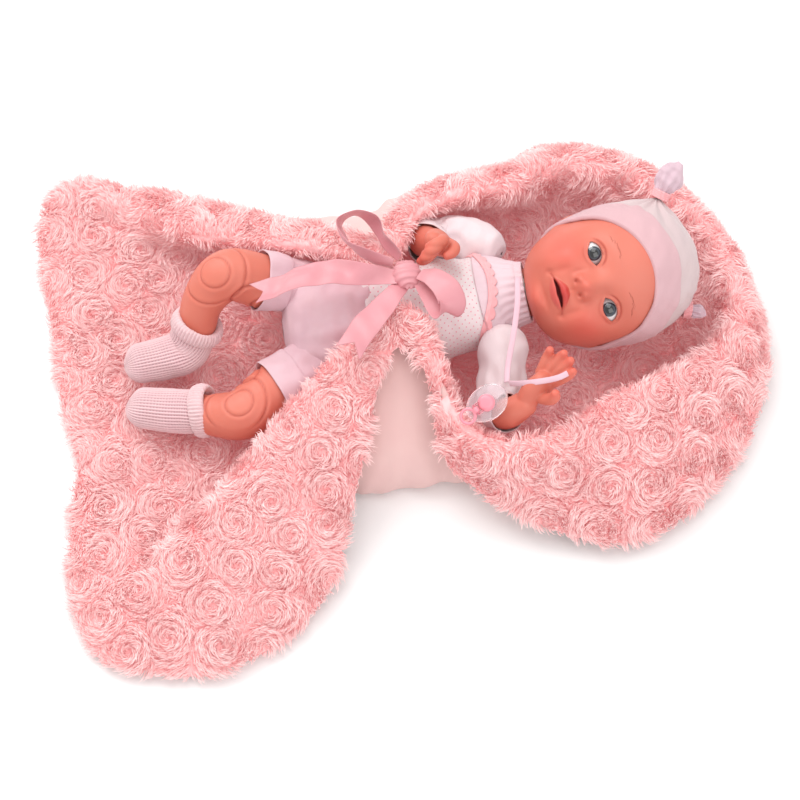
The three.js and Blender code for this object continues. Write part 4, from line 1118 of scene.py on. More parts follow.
def face_surface(direction):
    """The head's points with all features, and its colours."""
    point, _ = head_base(direction)
    front = step(2, 14, point[:, 2])
    x, y = point[:, 0].copy(), point[:, 1].copy()
    rise = np.zeros(len(x))
    for fx, fy, wide_x, wide_y, height in FACE_FORMS:
        for side in (1, -1) if fy else (1,):
            rise += height * np.exp(-(((x - fx) / wide_x) ** 2) - ((y - side * fy) / wide_y) ** 2)
    parting, top, foot, gap_half = mouth_lines(y)
    reach = np.clip(1 - (np.abs(y) / 11.4) ** 2.4, 0, 1)
    upper = np.clip((x - parting) / np.maximum(top - parting, 0.3), 0, 1)
    lower = np.clip((parting - x) / np.maximum(parting - foot, 0.3), 0, 1)
    rise += 2.0 * np.sin(math.pi * upper) ** 0.8 * reach * (1 + 0.35 * bell(y, 3))
    rise += 1.9 * np.sin(math.pi * lower) ** 0.8 * reach
    from_gap = np.abs(x - parting)
    opened = 1 - step(0.55, 1.15, from_gap / np.maximum(gap_half, 0.05))
    inside = opened * step(0.1, 0.5, gap_half)
    rise -= 3.4 * inside
    rise -= 0.9 * bell(from_gap, 0.7) * np.clip(1.3 - (np.abs(y) / 12.8) ** 6 * 1.3, 0, 1) * (np.abs(y) < 14)
    rise *= front
    point[:, 2] += rise
    point[:, 0] -= 2.2 * np.exp(-(((x + 50) / 5) ** 2) - (y / 11) ** 2) * front
    ear = np.exp(-(((x + 18) / 10) ** 2) - ((point[:, 2] - 2) / 4.6) ** 2) * (np.abs(y) > 25)
    hollow = np.exp(-(((x + 17) / 5) ** 2) - ((point[:, 2] - 3) / 1.6) ** 2) * (np.abs(y) > 25)
    point[:, 1] += np.sign(y) * (4.4 * ear - 2.4 * hollow)
    mouth = reach, parting, top, foot, from_gap, inside
    return set_eyelids(point, face_colours(x, y, front, mouth))


def set_eyelids(point, colours):
    """Lids that bulge over the eyeballs, with a clean almond opening, a crease above it, and painted shade in
    the crease, under the eye and round the lid margin.
    """
    for side in (1, -1):
        up = point[:, 0] - EYE_PLACE[0]
        outward = (point[:, 1] - side * EYE_SIDE) * side
        apart = np.hypot(up, outward)
        near = (apart < 13) & (point[:, 2] > 10)
        angle = np.arctan2(outward, up)
        edge = almond(angle)
        lid_radius = EYE_RADIUS + LID
        lid = EYE_PLACE[2] + np.sqrt(np.maximum(lid_radius**2 - apart**2, 0))
        sharp = 1.1
        over = np.where(apart < lid_radius, lid - point[:, 2], -9)
        lifted = point[:, 2] + np.where(
            over > -sharp, np.where(over < sharp, (over + sharp) ** 2 / (4 * sharp), over), 0,
        )
        point[near, 2] = lifted[near]
        climb = up / np.maximum(apart, 1e-6)
        fold = bell(apart - edge - 2.5, 0.55) * step(0.1, 0.6, climb)
        under = bell(apart - edge - 2.2, 0.8) * step(0.1, 0.6, -climb)
        point[:, 2] -= near * (0.75 * fold + 0.3 * under)
        margin = step(0.8, 0.0, apart - edge) * (apart > edge)
        reach = 0.55
        ring_out = near & (apart >= edge) & (apart < edge + reach)
        ring_in = near & (apart < edge) & (apart > edge - reach)
        for chosen in (ring_out, ring_in):
            scale = (edge / np.maximum(apart, 1e-6))[chosen]
            point[chosen, 0] = EYE_PLACE[0] + up[chosen] * scale
            point[chosen, 1] = side * (EYE_SIDE + outward[chosen] * scale)
        rim = EYE_PLACE[2] + np.sqrt(np.maximum(lid_radius**2 - edge**2, 0))
        point[ring_out, 2] = np.maximum(point[ring_out, 2], rim[ring_out] - 0.2)
        eyeball = EYE_PLACE[2] + np.sqrt(np.maximum(EYE_RADIUS**2 - np.minimum(apart, edge) ** 2, 0))
        inner = near & (apart < edge)
        point[inner, 2] = eyeball[inner] - 1.2
        # Painted shade in the lid crease, under the eye and round the lid margin, the doll's own lash line on
        # the upper margin, and the hidden skin behind the eyeball made dark as painted shade in the gap.
        colours[:] = tint(colours, SKIN_DEEP, near * 0.75 * fold)
        colours[:] = tint(colours, SKIN_DEEP, near * 0.3 * under)
        colours[:] = tint(colours, LASH_LINE, near * margin * step(-0.2, 0.5, climb) * 0.9)
        colours[:] = tint(colours, SKIN_DEEP, near * margin * 0.4)
        colours[inner] = LASH_LINE
    return point, colours


def to_world(points):
    return points @ HEAD_AXES.T + np.array(HEAD_CENTRE)


HEAD_COLUMNS = 360
NECK_AXIS = (-1, 48)  # where the neck's middle lies across the doll, as y and z
SOCKET_RADIUS = 15.6
SOCKET_FLOOR = 86.0  # the head's skin is cut off flat here, where the neck plug turns in it


def make_head():
    turn = np.concatenate([np.linspace(0.002, 1.32, 176), np.linspace(1.36, math.pi - 0.002, 44)])
    direction = ball(turn, full_turn(HEAD_COLUMNS)).reshape(-1, 3)
    point, colours = face_surface(direction)
    world = to_world(point)
    neck_away = np.hypot(world[:, 1] - NECK_AXIS[0], world[:, 2] - NECK_AXIS[1])
    socket = (neck_away < SOCKET_RADIUS) & (world[:, 0] < 92)
    world[socket, 0] = np.maximum(world[socket, 0], SOCKET_FLOOR)
    head = new_object("head_vinyl", world, grid_quads(len(turn), HEAD_COLUMNS, True), SKIN)
    paint(head, "paint", colours)
    finish_piece(head, "skin_vinyl", "head", "head_shell")


def make_eyes():
    rings, columns = 72, 96
    turn = np.linspace(0.001, math.pi - 0.001, rings)
    angle = full_turn(columns)
    direction = ball(turn, angle).reshape(-1, 3)
    for side, name in ((1, "right"), (-1, "left")):
        place = np.array([EYE_PLACE[0], side * EYE_SIDE, EYE_PLACE[2]])
        away = np.hypot(direction[:, 0], direction[:, 1]) * EYE_RADIUS
        facing = direction[:, 2] > 0
        bulge = 0.45 * bell(away, 3.6) * facing
        points = direction * (EYE_RADIUS + bulge)[:, None] + place
        spoke = np.arctan2(direction[:, 1], direction[:, 0])
        streak = 0.5 + 0.25 * np.sin(spoke * 23 + 1.3) + 0.25 * np.sin(spoke * 41 + away * 2)
        colours = np.repeat(EYE_WHITE[None], len(points), 0)
        colours = tint(colours, IRIS_RIM, step(4.45, 4.1, away) * facing)
        colours = tint(colours, IRIS, step(3.9, 3.3, away) * facing * (0.45 + 0.5 * streak))
        colours = tint(colours, PUPIL, step(2.7, 2.35, away) * facing)
        eye = new_object("eye_ball_" + name, to_world(points), grid_quads(rings, columns, True), EYE)
        paint(eye, "paint", colours)
        finish_piece(eye, "eye", "head", "eye_" + name)


def blades(name, roots, middles, tips, width, material, body, slot):
    """Fine tapered strokes, each bent once."""
    roots, middles, tips = (np.asarray(v, float) for v in (roots, middles, tips))
    side = unit(np.cross(tips - roots, unit(np.cross(middles - roots, tips - middles) + 1e-6)))
    points = np.stack([roots + side * width, roots - side * width, middles + side * width * 0.7,
                       middles - side * width * 0.7, tips], 1).reshape(-1, 3)
    first = np.arange(len(roots))[:, None] * 5
    made = new_object(name, points, first + [0, 1, 3, 2], material, first + [2, 3, 4])
    finish_piece(made, slot, body)


def face_z(x, y):
    """The finished face's points over places in the frontal view, found by walking out along directions."""
    direction = unit(np.stack([x, y, np.full(len(x), 35.0)], -1))
    for _ in range(12):
        found, _ = face_surface(direction.copy())
        direction = unit(direction + np.stack([x - found[:, 0], y - found[:, 1], np.zeros(len(x))], -1) / 45)
    return face_surface(direction.copy())[0]


def make_lashes_and_brows():
    local = np.random.default_rng(21)
    roots, middles, tips = [], [], []
    for side in (1, -1):
        place = np.array([EYE_PLACE[0], side * EYE_SIDE, EYE_PLACE[2]])
        for along in np.linspace(-1.25, 1.3, 34):
            edge = float(almond(np.array([along]))[0])
            up, outward = math.cos(along) * edge, math.sin(along) * edge
            height = math.sqrt(max((EYE_RADIUS + LID) ** 2 - edge**2, 0))
            root = place + np.array([up, side * outward, height - 0.15])
            lean = np.array([0.75 * math.cos(along) + 0.1, side * math.sin(along) * 0.9, 0.75])
            length = local.uniform(1.5, 2.1)
            roots.append(root)
            middles.append(root + lean * length * 0.5 + np.array([0, 0, 0.15]))
            tips.append(root + lean * length + np.array([0.45, 0, -0.1]))
    world = [to_world(np.array(v)) for v in (roots, middles, tips)]
    blades("lashes", *world, 0.09, LASH, "head", "eye")
    roots, tips = [], []
    for side in (1, -1):
        for along in np.linspace(0, 1, 26):
            y = side * (10 + 13 * along)
            x = 2.6 + 1.8 * math.sin(math.pi * along * 0.9) - 2.2 * along + local.normal() * 0.5
            roots.append((x, y))
            tips.append((x + local.uniform(0.2, 1.2) - 1.4 * along, y + side * local.uniform(1.8, 3.0)))
    roots, tips = np.array(roots), np.array(tips)
    middle = (roots + tips) / 2 + [0.25, 0]
    lifted = []
    for flat in (roots, middle, tips):
        found = face_z(flat[:, 0], flat[:, 1])
        lifted.append(to_world(found + np.array([0, 0, 0.07])))
    blades("brows", *lifted, 0.11, BROW, "head", "skin_vinyl")


# ---- Hat ----
HAT_TILT = 1.3
BRIM_START = -32.0
BRIM_END = -4.0
BRIM_LAP = 0.012  # radians the brim runs over the crown
HAT_GROW = 1.7
HAT_COLUMNS = 300
KNOTS = {"right": ((37, 37, 4), (51, 53, 6.5)), "left": ((35, -31, -8), (45.5, -35.5, -9))}


def hat_frame():
    """The hat's axis and two ways across it, in the head's own frame."""
    axis = unit(np.array([1.0, 0.0, -HAT_TILT * 0.6]))
    first = unit(np.cross([0.0, 1.0, 0.0], axis))
    return axis, first, np.cross(axis, first)


def hat_directions(turn, angle):
    """Unit directions at turns from the hat's axis and angles round it."""
    axis, first, second = hat_frame()
    away = np.cos(angle)[:, None] * first + np.sin(angle)[:, None] * second
    return unit(np.cos(turn)[..., None] * axis + np.sin(turn)[..., None] * away)


def hat_edge(angle, level):
    """The turn from the hat's axis at which the head's surface crosses a tilted plane."""
    low = np.full(len(angle), 0.05)
    high = np.full(len(angle), 3.0)
    for _ in range(26):
        turn = (low + high) / 2
        point, _ = head_base(hat_directions(turn, angle))
        above = point[:, 0] - HAT_TILT * point[:, 2] > level
        low = np.where(above, turn, low)
        high = np.where(above, high, turn)
    return low


def hat_point(direction, grow):
    """The hat's cloth over the head, drawn out into a pleated cone at each knot."""
    point, out = head_base(direction)
    point = point + out * grow[:, None]
    point += out * (0.5 * smooth_noise(point, 30, 31) + 0.25 * smooth_noise(point, 11, 32))[:, None]
    for name, (base, tip) in KNOTS.items():
        base, tip = np.array(base, float), np.array(tip, float)
        way = unit(tip - base)
        toward = unit(base)
        apart = np.arccos(np.clip(direction @ toward, -1, 1))
        pull = np.clip(1 - apart / (0.62 if name == "right" else 0.5), 0, 1)
        side = unit(np.cross(way, [0.1, 0.2, 1.0]))
        other = np.cross(way, side)
        spin = np.arctan2(direction @ other, direction @ side)
        pleat = np.sin(spin * 9 + 0.6) * 0.9 * np.sin(math.pi * np.clip(pull, 0, 1)) ** 1.5
        target = base + way * 2.5
        point = point + (target - point) * (pull**1.7)[:, None] + out * pleat[:, None]
    return point


def make_hat():
    angle = full_turn(HAT_COLUMNS)
    seam = hat_edge(angle, BRIM_END)
    brim_depth = hat_edge(angle, BRIM_START) - seam + BRIM_LAP

    def sweep(turns, grow):
        direction = hat_directions(turns, angle).reshape(-1, 3)
        return hat_point(direction, np.broadcast_to(grow, turns.shape).ravel()).reshape(*turns.shape, 3)

    crown_share = np.concatenate([np.linspace(0.004, 1, 90), [1.02, 1.05]])
    turns = crown_share[:, None] * seam[None]
    stacked = np.concatenate([sweep(turns, HAT_GROW), sweep(turns[::-1], 0.35)])
    uv = together(stacked[..., 1], stacked[..., 0] + stacked[..., 2] * 0.6)
    quads = grid_quads(len(stacked), HAT_COLUMNS, True)
    hat = new_object("hat_jersey", to_world(stacked), quads, HAT_CLOTH, uv=uv)
    finish_piece(hat, "jersey", "head", "hat_crown")

    share = np.linspace(0, 1, 40)
    profile = 1.25 + 1.5 * np.clip(np.minimum(share / 0.035, (1 - share) / 0.05), 0, 1) ** 0.5
    grow = (profile + 0.25 * np.sin(share * math.pi))[:, None]
    back_share = np.linspace(1.0, 0.0, 12)
    brim = sweep(seam[None] - BRIM_LAP + brim_depth[None] * share[:, None], grow)
    inner = sweep(seam[None] - BRIM_LAP + brim_depth[None] * back_share[:, None], 0.4)
    stacked = np.concatenate([brim, inner])
    uv = together(angle[None] * 46, np.concatenate([share, back_share])[:, None] * 24)
    quads = torus_quads(len(stacked), HAT_COLUMNS)
    band = new_object("hat_band", to_world(stacked), quads, BRIM_CLOTH, uv=uv)
    finish_piece(band, "lilac_jersey", "head", "hat_brim")


def thread_ring(centre, way, side, other, number):
    """One turn of the elastic round a knot's foot."""
    loop = full_turn(60)[:, None]
    wire = full_turn(10)[None, :, None]
    ruffle = 4.6 + 0.35 * np.sin(loop * 11 + number)
    path = centre + side * (np.cos(loop) * ruffle) + other * (np.sin(loop) * ruffle)
    out_way = unit(path - centre)[:, None]
    ring = path[:, None] + 0.85 * (out_way * np.cos(wire) + way * np.sin(wire))
    return ring.reshape(-1, 3), torus_quads(60, 10)


def make_knots():
    for name, (base, tip) in KNOTS.items():
        base, tip = np.array(base, float), np.array(tip, float)
        way = unit(tip - base)
        length = float(np.linalg.norm(tip - base))
        start = base + way * 3.5
        side = unit(np.cross(way, [0.1, 0.2, 1.0]))
        other = np.cross(way, side)
        share = np.array([0.0, 0.12, 0.3, 0.55, 0.8, 1.0])
        wide = np.array([3.2, 4.6, 7.0, 7.6, 5.6, 1.6]) * length / 20.5
        deep = np.array([3.0, 3.6, 4.6, 4.4, 3.0, 1.0]) * length / 20.5
        lean = 2.5 * share**2
        middles = start + way * (share * length)[:, None] + side * lean[:, None]
        stations = np.column_stack([middles, wide, deep])
        grid, out, _, along, angle = tube_grid(stations, other, 10, 96)
        rows = np.arange(len(grid))[:, None] / len(grid)
        pleat = np.sin(angle[None] * 9 + rows * 2) * 0.55 * np.sin(math.pi * np.clip(rows * 1.1 + 0.12, 0, 1))
        crumple = smooth_noise(grid.reshape(-1, 3), 6.5, 41).reshape(grid.shape[:2]) * 0.55
        grid = grid + out * (pleat + crumple)[..., None]
        closing = grid[-1].mean(0) + (grid[-1] - grid[-1].mean(0)) * 0.05
        stacked = np.concatenate([grid, closing[None]])
        uv = together(angle[None] * 6, np.append(along, along[-1] + 1)[:, None])
        quads = grid_quads(len(stacked), 96, True)
        tuft = new_object("hat_knot_" + name, to_world(stacked), quads, TUFT_CLOTH, uv=uv)
        finish_piece(tuft, "jersey", "head", "hat_ear_" + name)
        rings = []
        for number in range(4):
            rings.append(thread_ring(base + way * (1.2 + 1.15 * number), way, side, other, number))
        points, quads = joined(rings)
        thread = new_object("hat_elastic_" + name, to_world(points), quads, TRIM, uv=points[:, :2])
        finish_piece(thread, "trim", "head", "hat_thread_" + name)


make_head()
make_eyes()
make_lashes_and_brows()
make_hat()
make_knots()


# ---- Arms and legs ----
SIDES = ("right", "left")
HANDS = {
    "right": {
        "palm": [(18, 24, 79, 9, 6.8), (17.5, 20, 84, 9.6, 7), (16, 17, 88.5, 8.6, 6)],
        "fingers": [
            [(20, 18, 91), (19, 14.5, 95.5), (14, 12, 97), (9.5, 12, 94.5)],
            [(17.5, 15.5, 90), (15, 11, 94.5), (10.5, 9, 94.5), (7, 9.5, 90.5)],
            [(15, 14, 88.5), (11, 8.5, 91.5), (7.5, 7.5, 90.5), (5.5, 8.5, 87)],
            [(13.5, 13.5, 86.5), (9, 8.5, 88), (6, 8, 86.5), (4.5, 9.5, 83.5)],
        ],
        "thumb": [(23, 19, 84), (25.5, 13, 88), (23.5, 8.5, 90), (19.5, 6.5, 90.5)],
    },
    "left": {
        "palm": [(54, -81, 66, 8, 6), (58, -79, 70, 9.4, 6.4), (64, -77, 75.5, 9, 6)],
        "fingers": [
            [(62, -71, 75), (65, -68, 80), (67.5, -65, 84.5), (68.5, -64.5, 89.5)],
            [(66, -73.5, 77), (70, -70.5, 82), (74, -68.5, 86.5), (76, -68.5, 90.5)],
            [(68.5, -76, 77), (73, -74.5, 81.5), (77, -73.5, 86), (79, -73.5, 90)],
            [(68.5, -79.5, 76.5), (73, -79.5, 80.5), (77, -79.5, 84), (79.5, -79.5, 87.5)],
        ],
        "thumb": [(60, -84, 69), (64, -88.5, 74.5), (66.5, -90.5, 80), (67, -90.5, 84.5)],
    },
}
FINGER_RADII = (3.1, 3.3, 3.1, 2.35)
THUMB_SWELL = 1.12
FINGER_TIP_REACH = 4.0
PALM_UP = {"right": (0.6, 0.4, 0.2), "left": (0.2, 1, 0.3)}
FINGER_UP = (0.3, 0.5, 0.8)
# The grid on which a limb's parts are fused, and how often the result is smoothed.
ARM_GRID, ARM_ROUNDS = 0.62, 5
LEG_GRID, LEG_ROUNDS = 0.95, 10


def crease(points, normals, centre, radius, width, depth, facing):
    """A fold line where a ball about centre cuts the skin, on the side that faces a way."""
    away = np.linalg.norm(points - np.array(centre), axis=1) - radius
    seen = step(0.0, 0.5, normals @ unit(np.array(facing, float)))
    return -depth * bell(away, width) * seen + depth * 0.35 * bell(np.abs(away) - 2.2, 1.3) * seen


ARM_CREASES = {
    "right": [((19, 28, 66), 6.5, 0.6, 0.9, (-1, -0.3, 0.3)), ((10, 48, 50), 9, 0.8, 1.2, (-1, 0, 0.5))],
    "left": [((47, -85, 56), 7.5, 0.6, 0.9, (0.2, -0.2, 1)), ((36, -74, 48), 9, 0.8, 1.0, (0, 0.2, 1))],
}
LEG_CREASES = {
    "right": [
        ((-116, 25, 77), 9.5, 0.55, 0.75, (0.25, -0.6, 0.8)),
        ((-118, 26, 78), 21, 0.6, 0.8, (0, -0.3, 0.9)),
        ((-97, 12, 60), 12, 0.7, 1.1, (-0.3, -0.8, 0.4)),
        ((-88, 10, 52), 10, 0.8, 1.3, (0, -0.9, 0.2)),
    ],
    "left": [
        ((-113, -49, 51), 9, 0.55, 0.75, (0.3, 0.1, 0.9)),
        ((-116, -49, 52), 20, 0.6, 0.8, (0.2, 0.2, 0.9)),
        ((-100, -34, 40), 10, 0.7, 0.9, (0, 0.8, 0.5)),
    ],
}


def limb_colours(points, normals, tips, knee_highlights):
    """Blushed finger tips, painted shade on faces that turn down, and a painted highlight on top of each
    knee.
    """
    colours = np.repeat(SKIN_BASE[None], len(points), 0)
    # Finger tips get the doll's blush; the tops of the knees get a painted highlight.
    for places, target in ((tips, SKIN_BLUSH), (knee_highlights, SKIN_PALE)):
        for place, reach in places:
            near = bell(np.linalg.norm(points - np.array(place), axis=1), reach)
            colours = tint(colours, target, 0.6 * near)
    # Painted shade: faces that turn down are tinted redder.
    return tint(colours, SKIN_BLUSH, 0.35 * step(0.2, -0.8, normals[:, 2]))


def make_limb(name, parts, voxel, rounds, creases, tips, knee_highlights, body, node):
    points, normals, quads = fused(name, parts, voxel, rounds)
    fold = np.zeros(len(points))
    shade = np.zeros(len(points))
    for centre, radius, width, depth, facing in creases:
        change = crease(points, normals, centre, radius, width, depth, facing)
        fold += change
        shade += np.clip(-change / depth, 0, 1)
    colours = limb_colours(points, normals, tips, knee_highlights)
    # Painted shade in the creases.
    colours = tint(colours, SKIN_DEEP, 0.55 * shade)
    limb = new_object(name, points + normals * fold[:, None], quads, SKIN)
    paint(limb, "paint", colours)
    finish_piece(limb, "skin_vinyl", body, node)


def make_limbs():
    for side in SIDES:
        hand = HANDS[side]
        parts = [capsule(ARM_PATH[side], ARM_UP[side], 8, 36), capsule(hand["palm"], PALM_UP[side], 8, 32)]
        tips = []
        for finger in hand["fingers"] + [hand["thumb"]]:
            thick = THUMB_SWELL if finger is hand["thumb"] else 1.0
            stations = [(*p, r * thick) for p, r in zip(finger, FINGER_RADII)]
            parts.append(capsule(stations, FINGER_UP, 6, 18))
            tips.append((finger[-1], FINGER_TIP_REACH))
        make_limb(
            "arm_vinyl_" + side, parts, ARM_GRID, ARM_ROUNDS, ARM_CREASES[side], tips, [], side + "_arm",
            "arm_" + side,
        )
    for side in SIDES:
        parts = [capsule(LEG_PATH[side], UPRIGHT, 10, 44), capsule(FOOT_PATH[side], UPRIGHT, 8, 36)]
        x, y, z, _ = LEG_PATH[side][2]
        # A painted highlight on the top of the knee.
        knee_highlights = [((x, y, z + 14), 12)]
        make_limb(
            "leg_vinyl_" + side, parts, LEG_GRID, LEG_ROUNDS, LEG_CREASES[side], [], knee_highlights, side + "_leg",
            "leg_" + side,
        )


# ---- Clothes ----
SHIRT_PATH = [
    (-30, 0, 40, 37.2, 29), (-8, 0, 40, 33.6, 29.3), (20, 0, 40, 30, 28.3), (42, 0, 42, 29, 24.4),
    (51, 0, 44.4, 24.5, 20.4),
]
YOKE_PATH = [
    (43, 0, 42.4, 29.5, 25), (53, 0, 45, 25.2, 21.2), (60, -0.5, 47, 20.2, 19.4),
    (64, -0.8, 47.8, 18.4, 18), (68, -1, 48.6, 17.4, 17),
]
SHORTS_PATH = [
    (-27.5, 0, 40, 38.6, 30.2), (-44, 0, 40, 38, 30), (-56, 0, 39.5, 36.5, 28.5), (-67, 0, 39, 33, 24.5),
    (-76, 0, 38.5, 24, 16.5), (-80, 0, 38.5, 8, 6),
]
SLEEVES = {
    "right": [
        (58, 28, 48.4, 0.4), (57, 29, 48.2, 7), (53, 32, 47.4, 12), (46, 37, 46, 13.9), (37, 45, 44, 13.6),
        (24, 48, 43.5, 13.1), (15, 44, 50, 12.4), (13.2, 38, 57, 11.6),
    ],
    "left": [
        (52.5, -21.5, 49, 0.4), (51.8, -24, 48.5, 8), (50, -30, 47.5, 12.6), (48, -38, 46, 14),
        (44, -54, 43, 13.7), (40, -67, 42.5, 12.8), (38, -77, 47, 12), (41, -83, 53.5, 11.2),
    ],
}
SHORTS_LEGS = {
    "right": [(-60, 24, 42, 16), (-76, 26, 50, 17.2), (-90, 27.3, 57, 17.6)],
    "left": [(-60, -24, 38, 16), (-76, -31, 38, 17.3), (-91, -38, 38, 17.7)],
}
BODY_COLUMNS = 220
BODY_CLOTH_THICKNESS = 1.1
LIMB_CLOTH_THICKNESS = 0.9
GATHERS = 26  # gathers round the yoke
SLEEVE_CUFF = 0.5  # how far the sleeve's cuff and the shorts' turned-up hem stand out
SHORTS_HEM = 0.7


def folded(grid, out, angle, folds, seed):
    """Cloth with soft random folds and pleats: folds are (number round, height by row)."""
    flat = grid.reshape(-1, 3)
    height = smooth_noise(flat, 26, seed) * 0.8 + smooth_noise(flat, 12, seed + 1) * 0.35
    height = height.reshape(grid.shape[:2])
    for count, tall in folds:
        wander = smooth_noise(flat, 40, seed + 2).reshape(grid.shape[:2]) * 0.6
        height = height + tall[:, None] * np.sin(angle[None] * count + wander)
    return grid + out * height[..., None]


def make_body_clothes():
    """The shirt, its yoke and the shorts; gives the shirt and the yoke as one surface to lay the trim on."""
    grid, out, _, along, angle = tube_grid(SHIRT_PATH, UPRIGHT, 22, BODY_COLUMNS)
    share = np.linspace(0, 1, len(grid))
    gather = 0.55 * step(0.72, 1.0, share)
    shirt = folded(grid, out, angle, [(17, gather), (5, 0.5 * bell(share - 0.1, 0.25))], 51)
    cloth_tube("shirt_dotted", shirt, out, along, angle, BODY_CLOTH_THICKNESS, DOTTED, "shirt")

    grid, out, _, along, angle = tube_grid(YOKE_PATH, UPRIGHT, 16, BODY_COLUMNS)
    share = np.linspace(0, 1, len(grid))
    gathers = 0.9 + 0.5 * np.sin(angle * GATHERS)[None] * (0.25 + 0.75 * share[:, None])
    yoke = grid + out * gathers[..., None]
    cloth_tube("shirt_yoke", yoke, out, along, angle, 0.8, YOKE_CLOTH)

    grid, out, _, along, angle = tube_grid(SHORTS_PATH, UPRIGHT, 20, BODY_COLUMNS)
    share = np.linspace(0, 1, len(grid))
    shorts = folded(grid, out, angle, [(13, 0.8 * bell(share - 0.25, 0.5)), (7, 0.6 * share)], 61)
    cloth_tube(
        "shorts_jersey", shorts, out, along, angle, BODY_CLOTH_THICKNESS, SHORTS_CLOTH, "shorts",
        slot="lilac_jersey",
    )
    parts = [(rows.reshape(-1, 3), grid_quads(len(rows), BODY_COLUMNS, True)) for rows in (shirt, yoke)]
    corners, quads = joined(parts)
    return BVHTree.FromPolygons([Vector(p) for p in corners], quads.tolist())


def make_sleeve(side):
    grid, out, _, along, angle = tube_grid(SLEEVES[side], ARM_UP[side], 18, 130)
    share = np.linspace(0, 1, len(grid))
    shaped = folded(grid, out, angle, [(9, 0.5 * bell(share - 0.72, 0.18)), (3, 0.5 * share)], 71)
    creases = np.sin(share * 34) * 0.5 * (1 - step(0.6, 0.8, share))
    height = creases[:, None] * np.cos(angle)[None] ** 2 + SLEEVE_CUFF * step(0.84, 0.86, share)[:, None]
    cloth_tube(
        "sleeve_jersey_" + side, shaped + out * height[..., None], out, along, angle, LIMB_CLOTH_THICKNESS,
        JERSEY, "sleeve_" + side, side + "_arm",
    )


def make_shorts_leg(side):
    grid, out, _, along, angle = tube_grid(SHORTS_LEGS[side], UPRIGHT, 26, 170)
    share = np.linspace(0, 1, len(grid))
    hem = SHORTS_HEM * step(0.5, 0.52, share) - 0.25 * bell(share - 0.5, 0.02)
    shaped = folded(grid, out, angle, [(8, 0.7 * (1 - share)), (3, 0.6 * np.ones(len(share)))], 81)
    cloth_tube(
        "shorts_cuff_" + side, shaped + out * hem[:, None, None], out, along, angle, LIMB_CLOTH_THICKNESS,
        SHORTS_CLOTH, "shorts_leg_" + side, side + "_leg", "lilac_jersey",
    )


# ---- Socks ----
# The middle of the ankle and the way up the leg from it.
ANKLES = {
    "right": ((-133, 10, 37), (0.45, 0.25, 0.85)),
    "left": ((-139, -39, 27), (0.95, -0.2, 0.25)),
}
SOCK_RIBS = 40
SOCK_ROOM = 1.5  # from the foot to the sock
LACE_PITCH = 2.0  # from one row of eyelets to the next
TOE_LENGTH = 10.5
TOE_ROWS = 16
ROLL_COLUMNS = 360
ROLL_SECTION = 28
ROLL_RADIUS = 13.6
ROLL_DEPTH = 2.5
ROLL_HALF_HEIGHT = 5.0
ROLL_RIBS = 45


def ankle(side):
    at, away = ANKLES[side]
    return np.array(at, float), unit(np.array(away, float))


def make_sock(side):
    """A ribbed sock with rows of eyelets between its ribs, closed by a round toe."""
    at, away = ankle(side)
    stations = [(*(at + away * 5.5), 12.0)] + [(*p[:3], p[3] + SOCK_ROOM) for p in FOOT_PATH[side][1:]]
    grid, out, tangent, along, angle = tube_grid(stations, UPRIGHT, 30, SOCK_RIBS * 8)
    last = grid[-1].mean(0)
    turn = np.linspace(0.12, 1.55, TOE_ROWS)[:, None, None]
    toe = last + (grid[-1] - last) * np.cos(turn) + tangent[-1] * TOE_LENGTH * np.sin(turn)
    full = np.concatenate([grid, toe])
    ways = np.concatenate([out, unit(toe - (last - tangent[-1] * 2))])
    length = np.concatenate([along, along[-1] + np.linspace(1, TOE_ROWS, TOE_ROWS)])
    rib = np.cos(angle * SOCK_RIBS)[None]
    fade = np.concatenate([np.ones(len(grid)), np.linspace(1, 0.1, TOE_ROWS)])[:, None]
    lace = (0.5 + 0.5 * np.cos(2 * math.pi * length / LACE_PITCH))[:, None] * step(0.2, 0.9, -rib)
    uneven = smooth_noise(full.reshape(-1, 3), 20, 91).reshape(full.shape[:2])
    height = (0.32 * rib - 0.35 * lace) * fade + uneven * 0.4
    stacked = np.concatenate([full + ways * height[..., None], (full - ways)[::-1]])
    uv = together(angle[None] * 13, np.concatenate([length, length[::-1]])[:, None])
    sock = new_object("sock_knit_" + side, stacked, torus_quads(len(stacked), len(angle)), WOOL, uv=uv)
    # Painted shade in the valleys between ribs and in the eyelets.
    groove = (0.28 * step(0.3, 1, -rib) + 0.6 * lace) * fade
    paint(sock, "groove", np.concatenate([groove, np.zeros_like(groove)]).ravel())
    finish_piece(sock, "wool", side + "_leg", "sock_" + side)


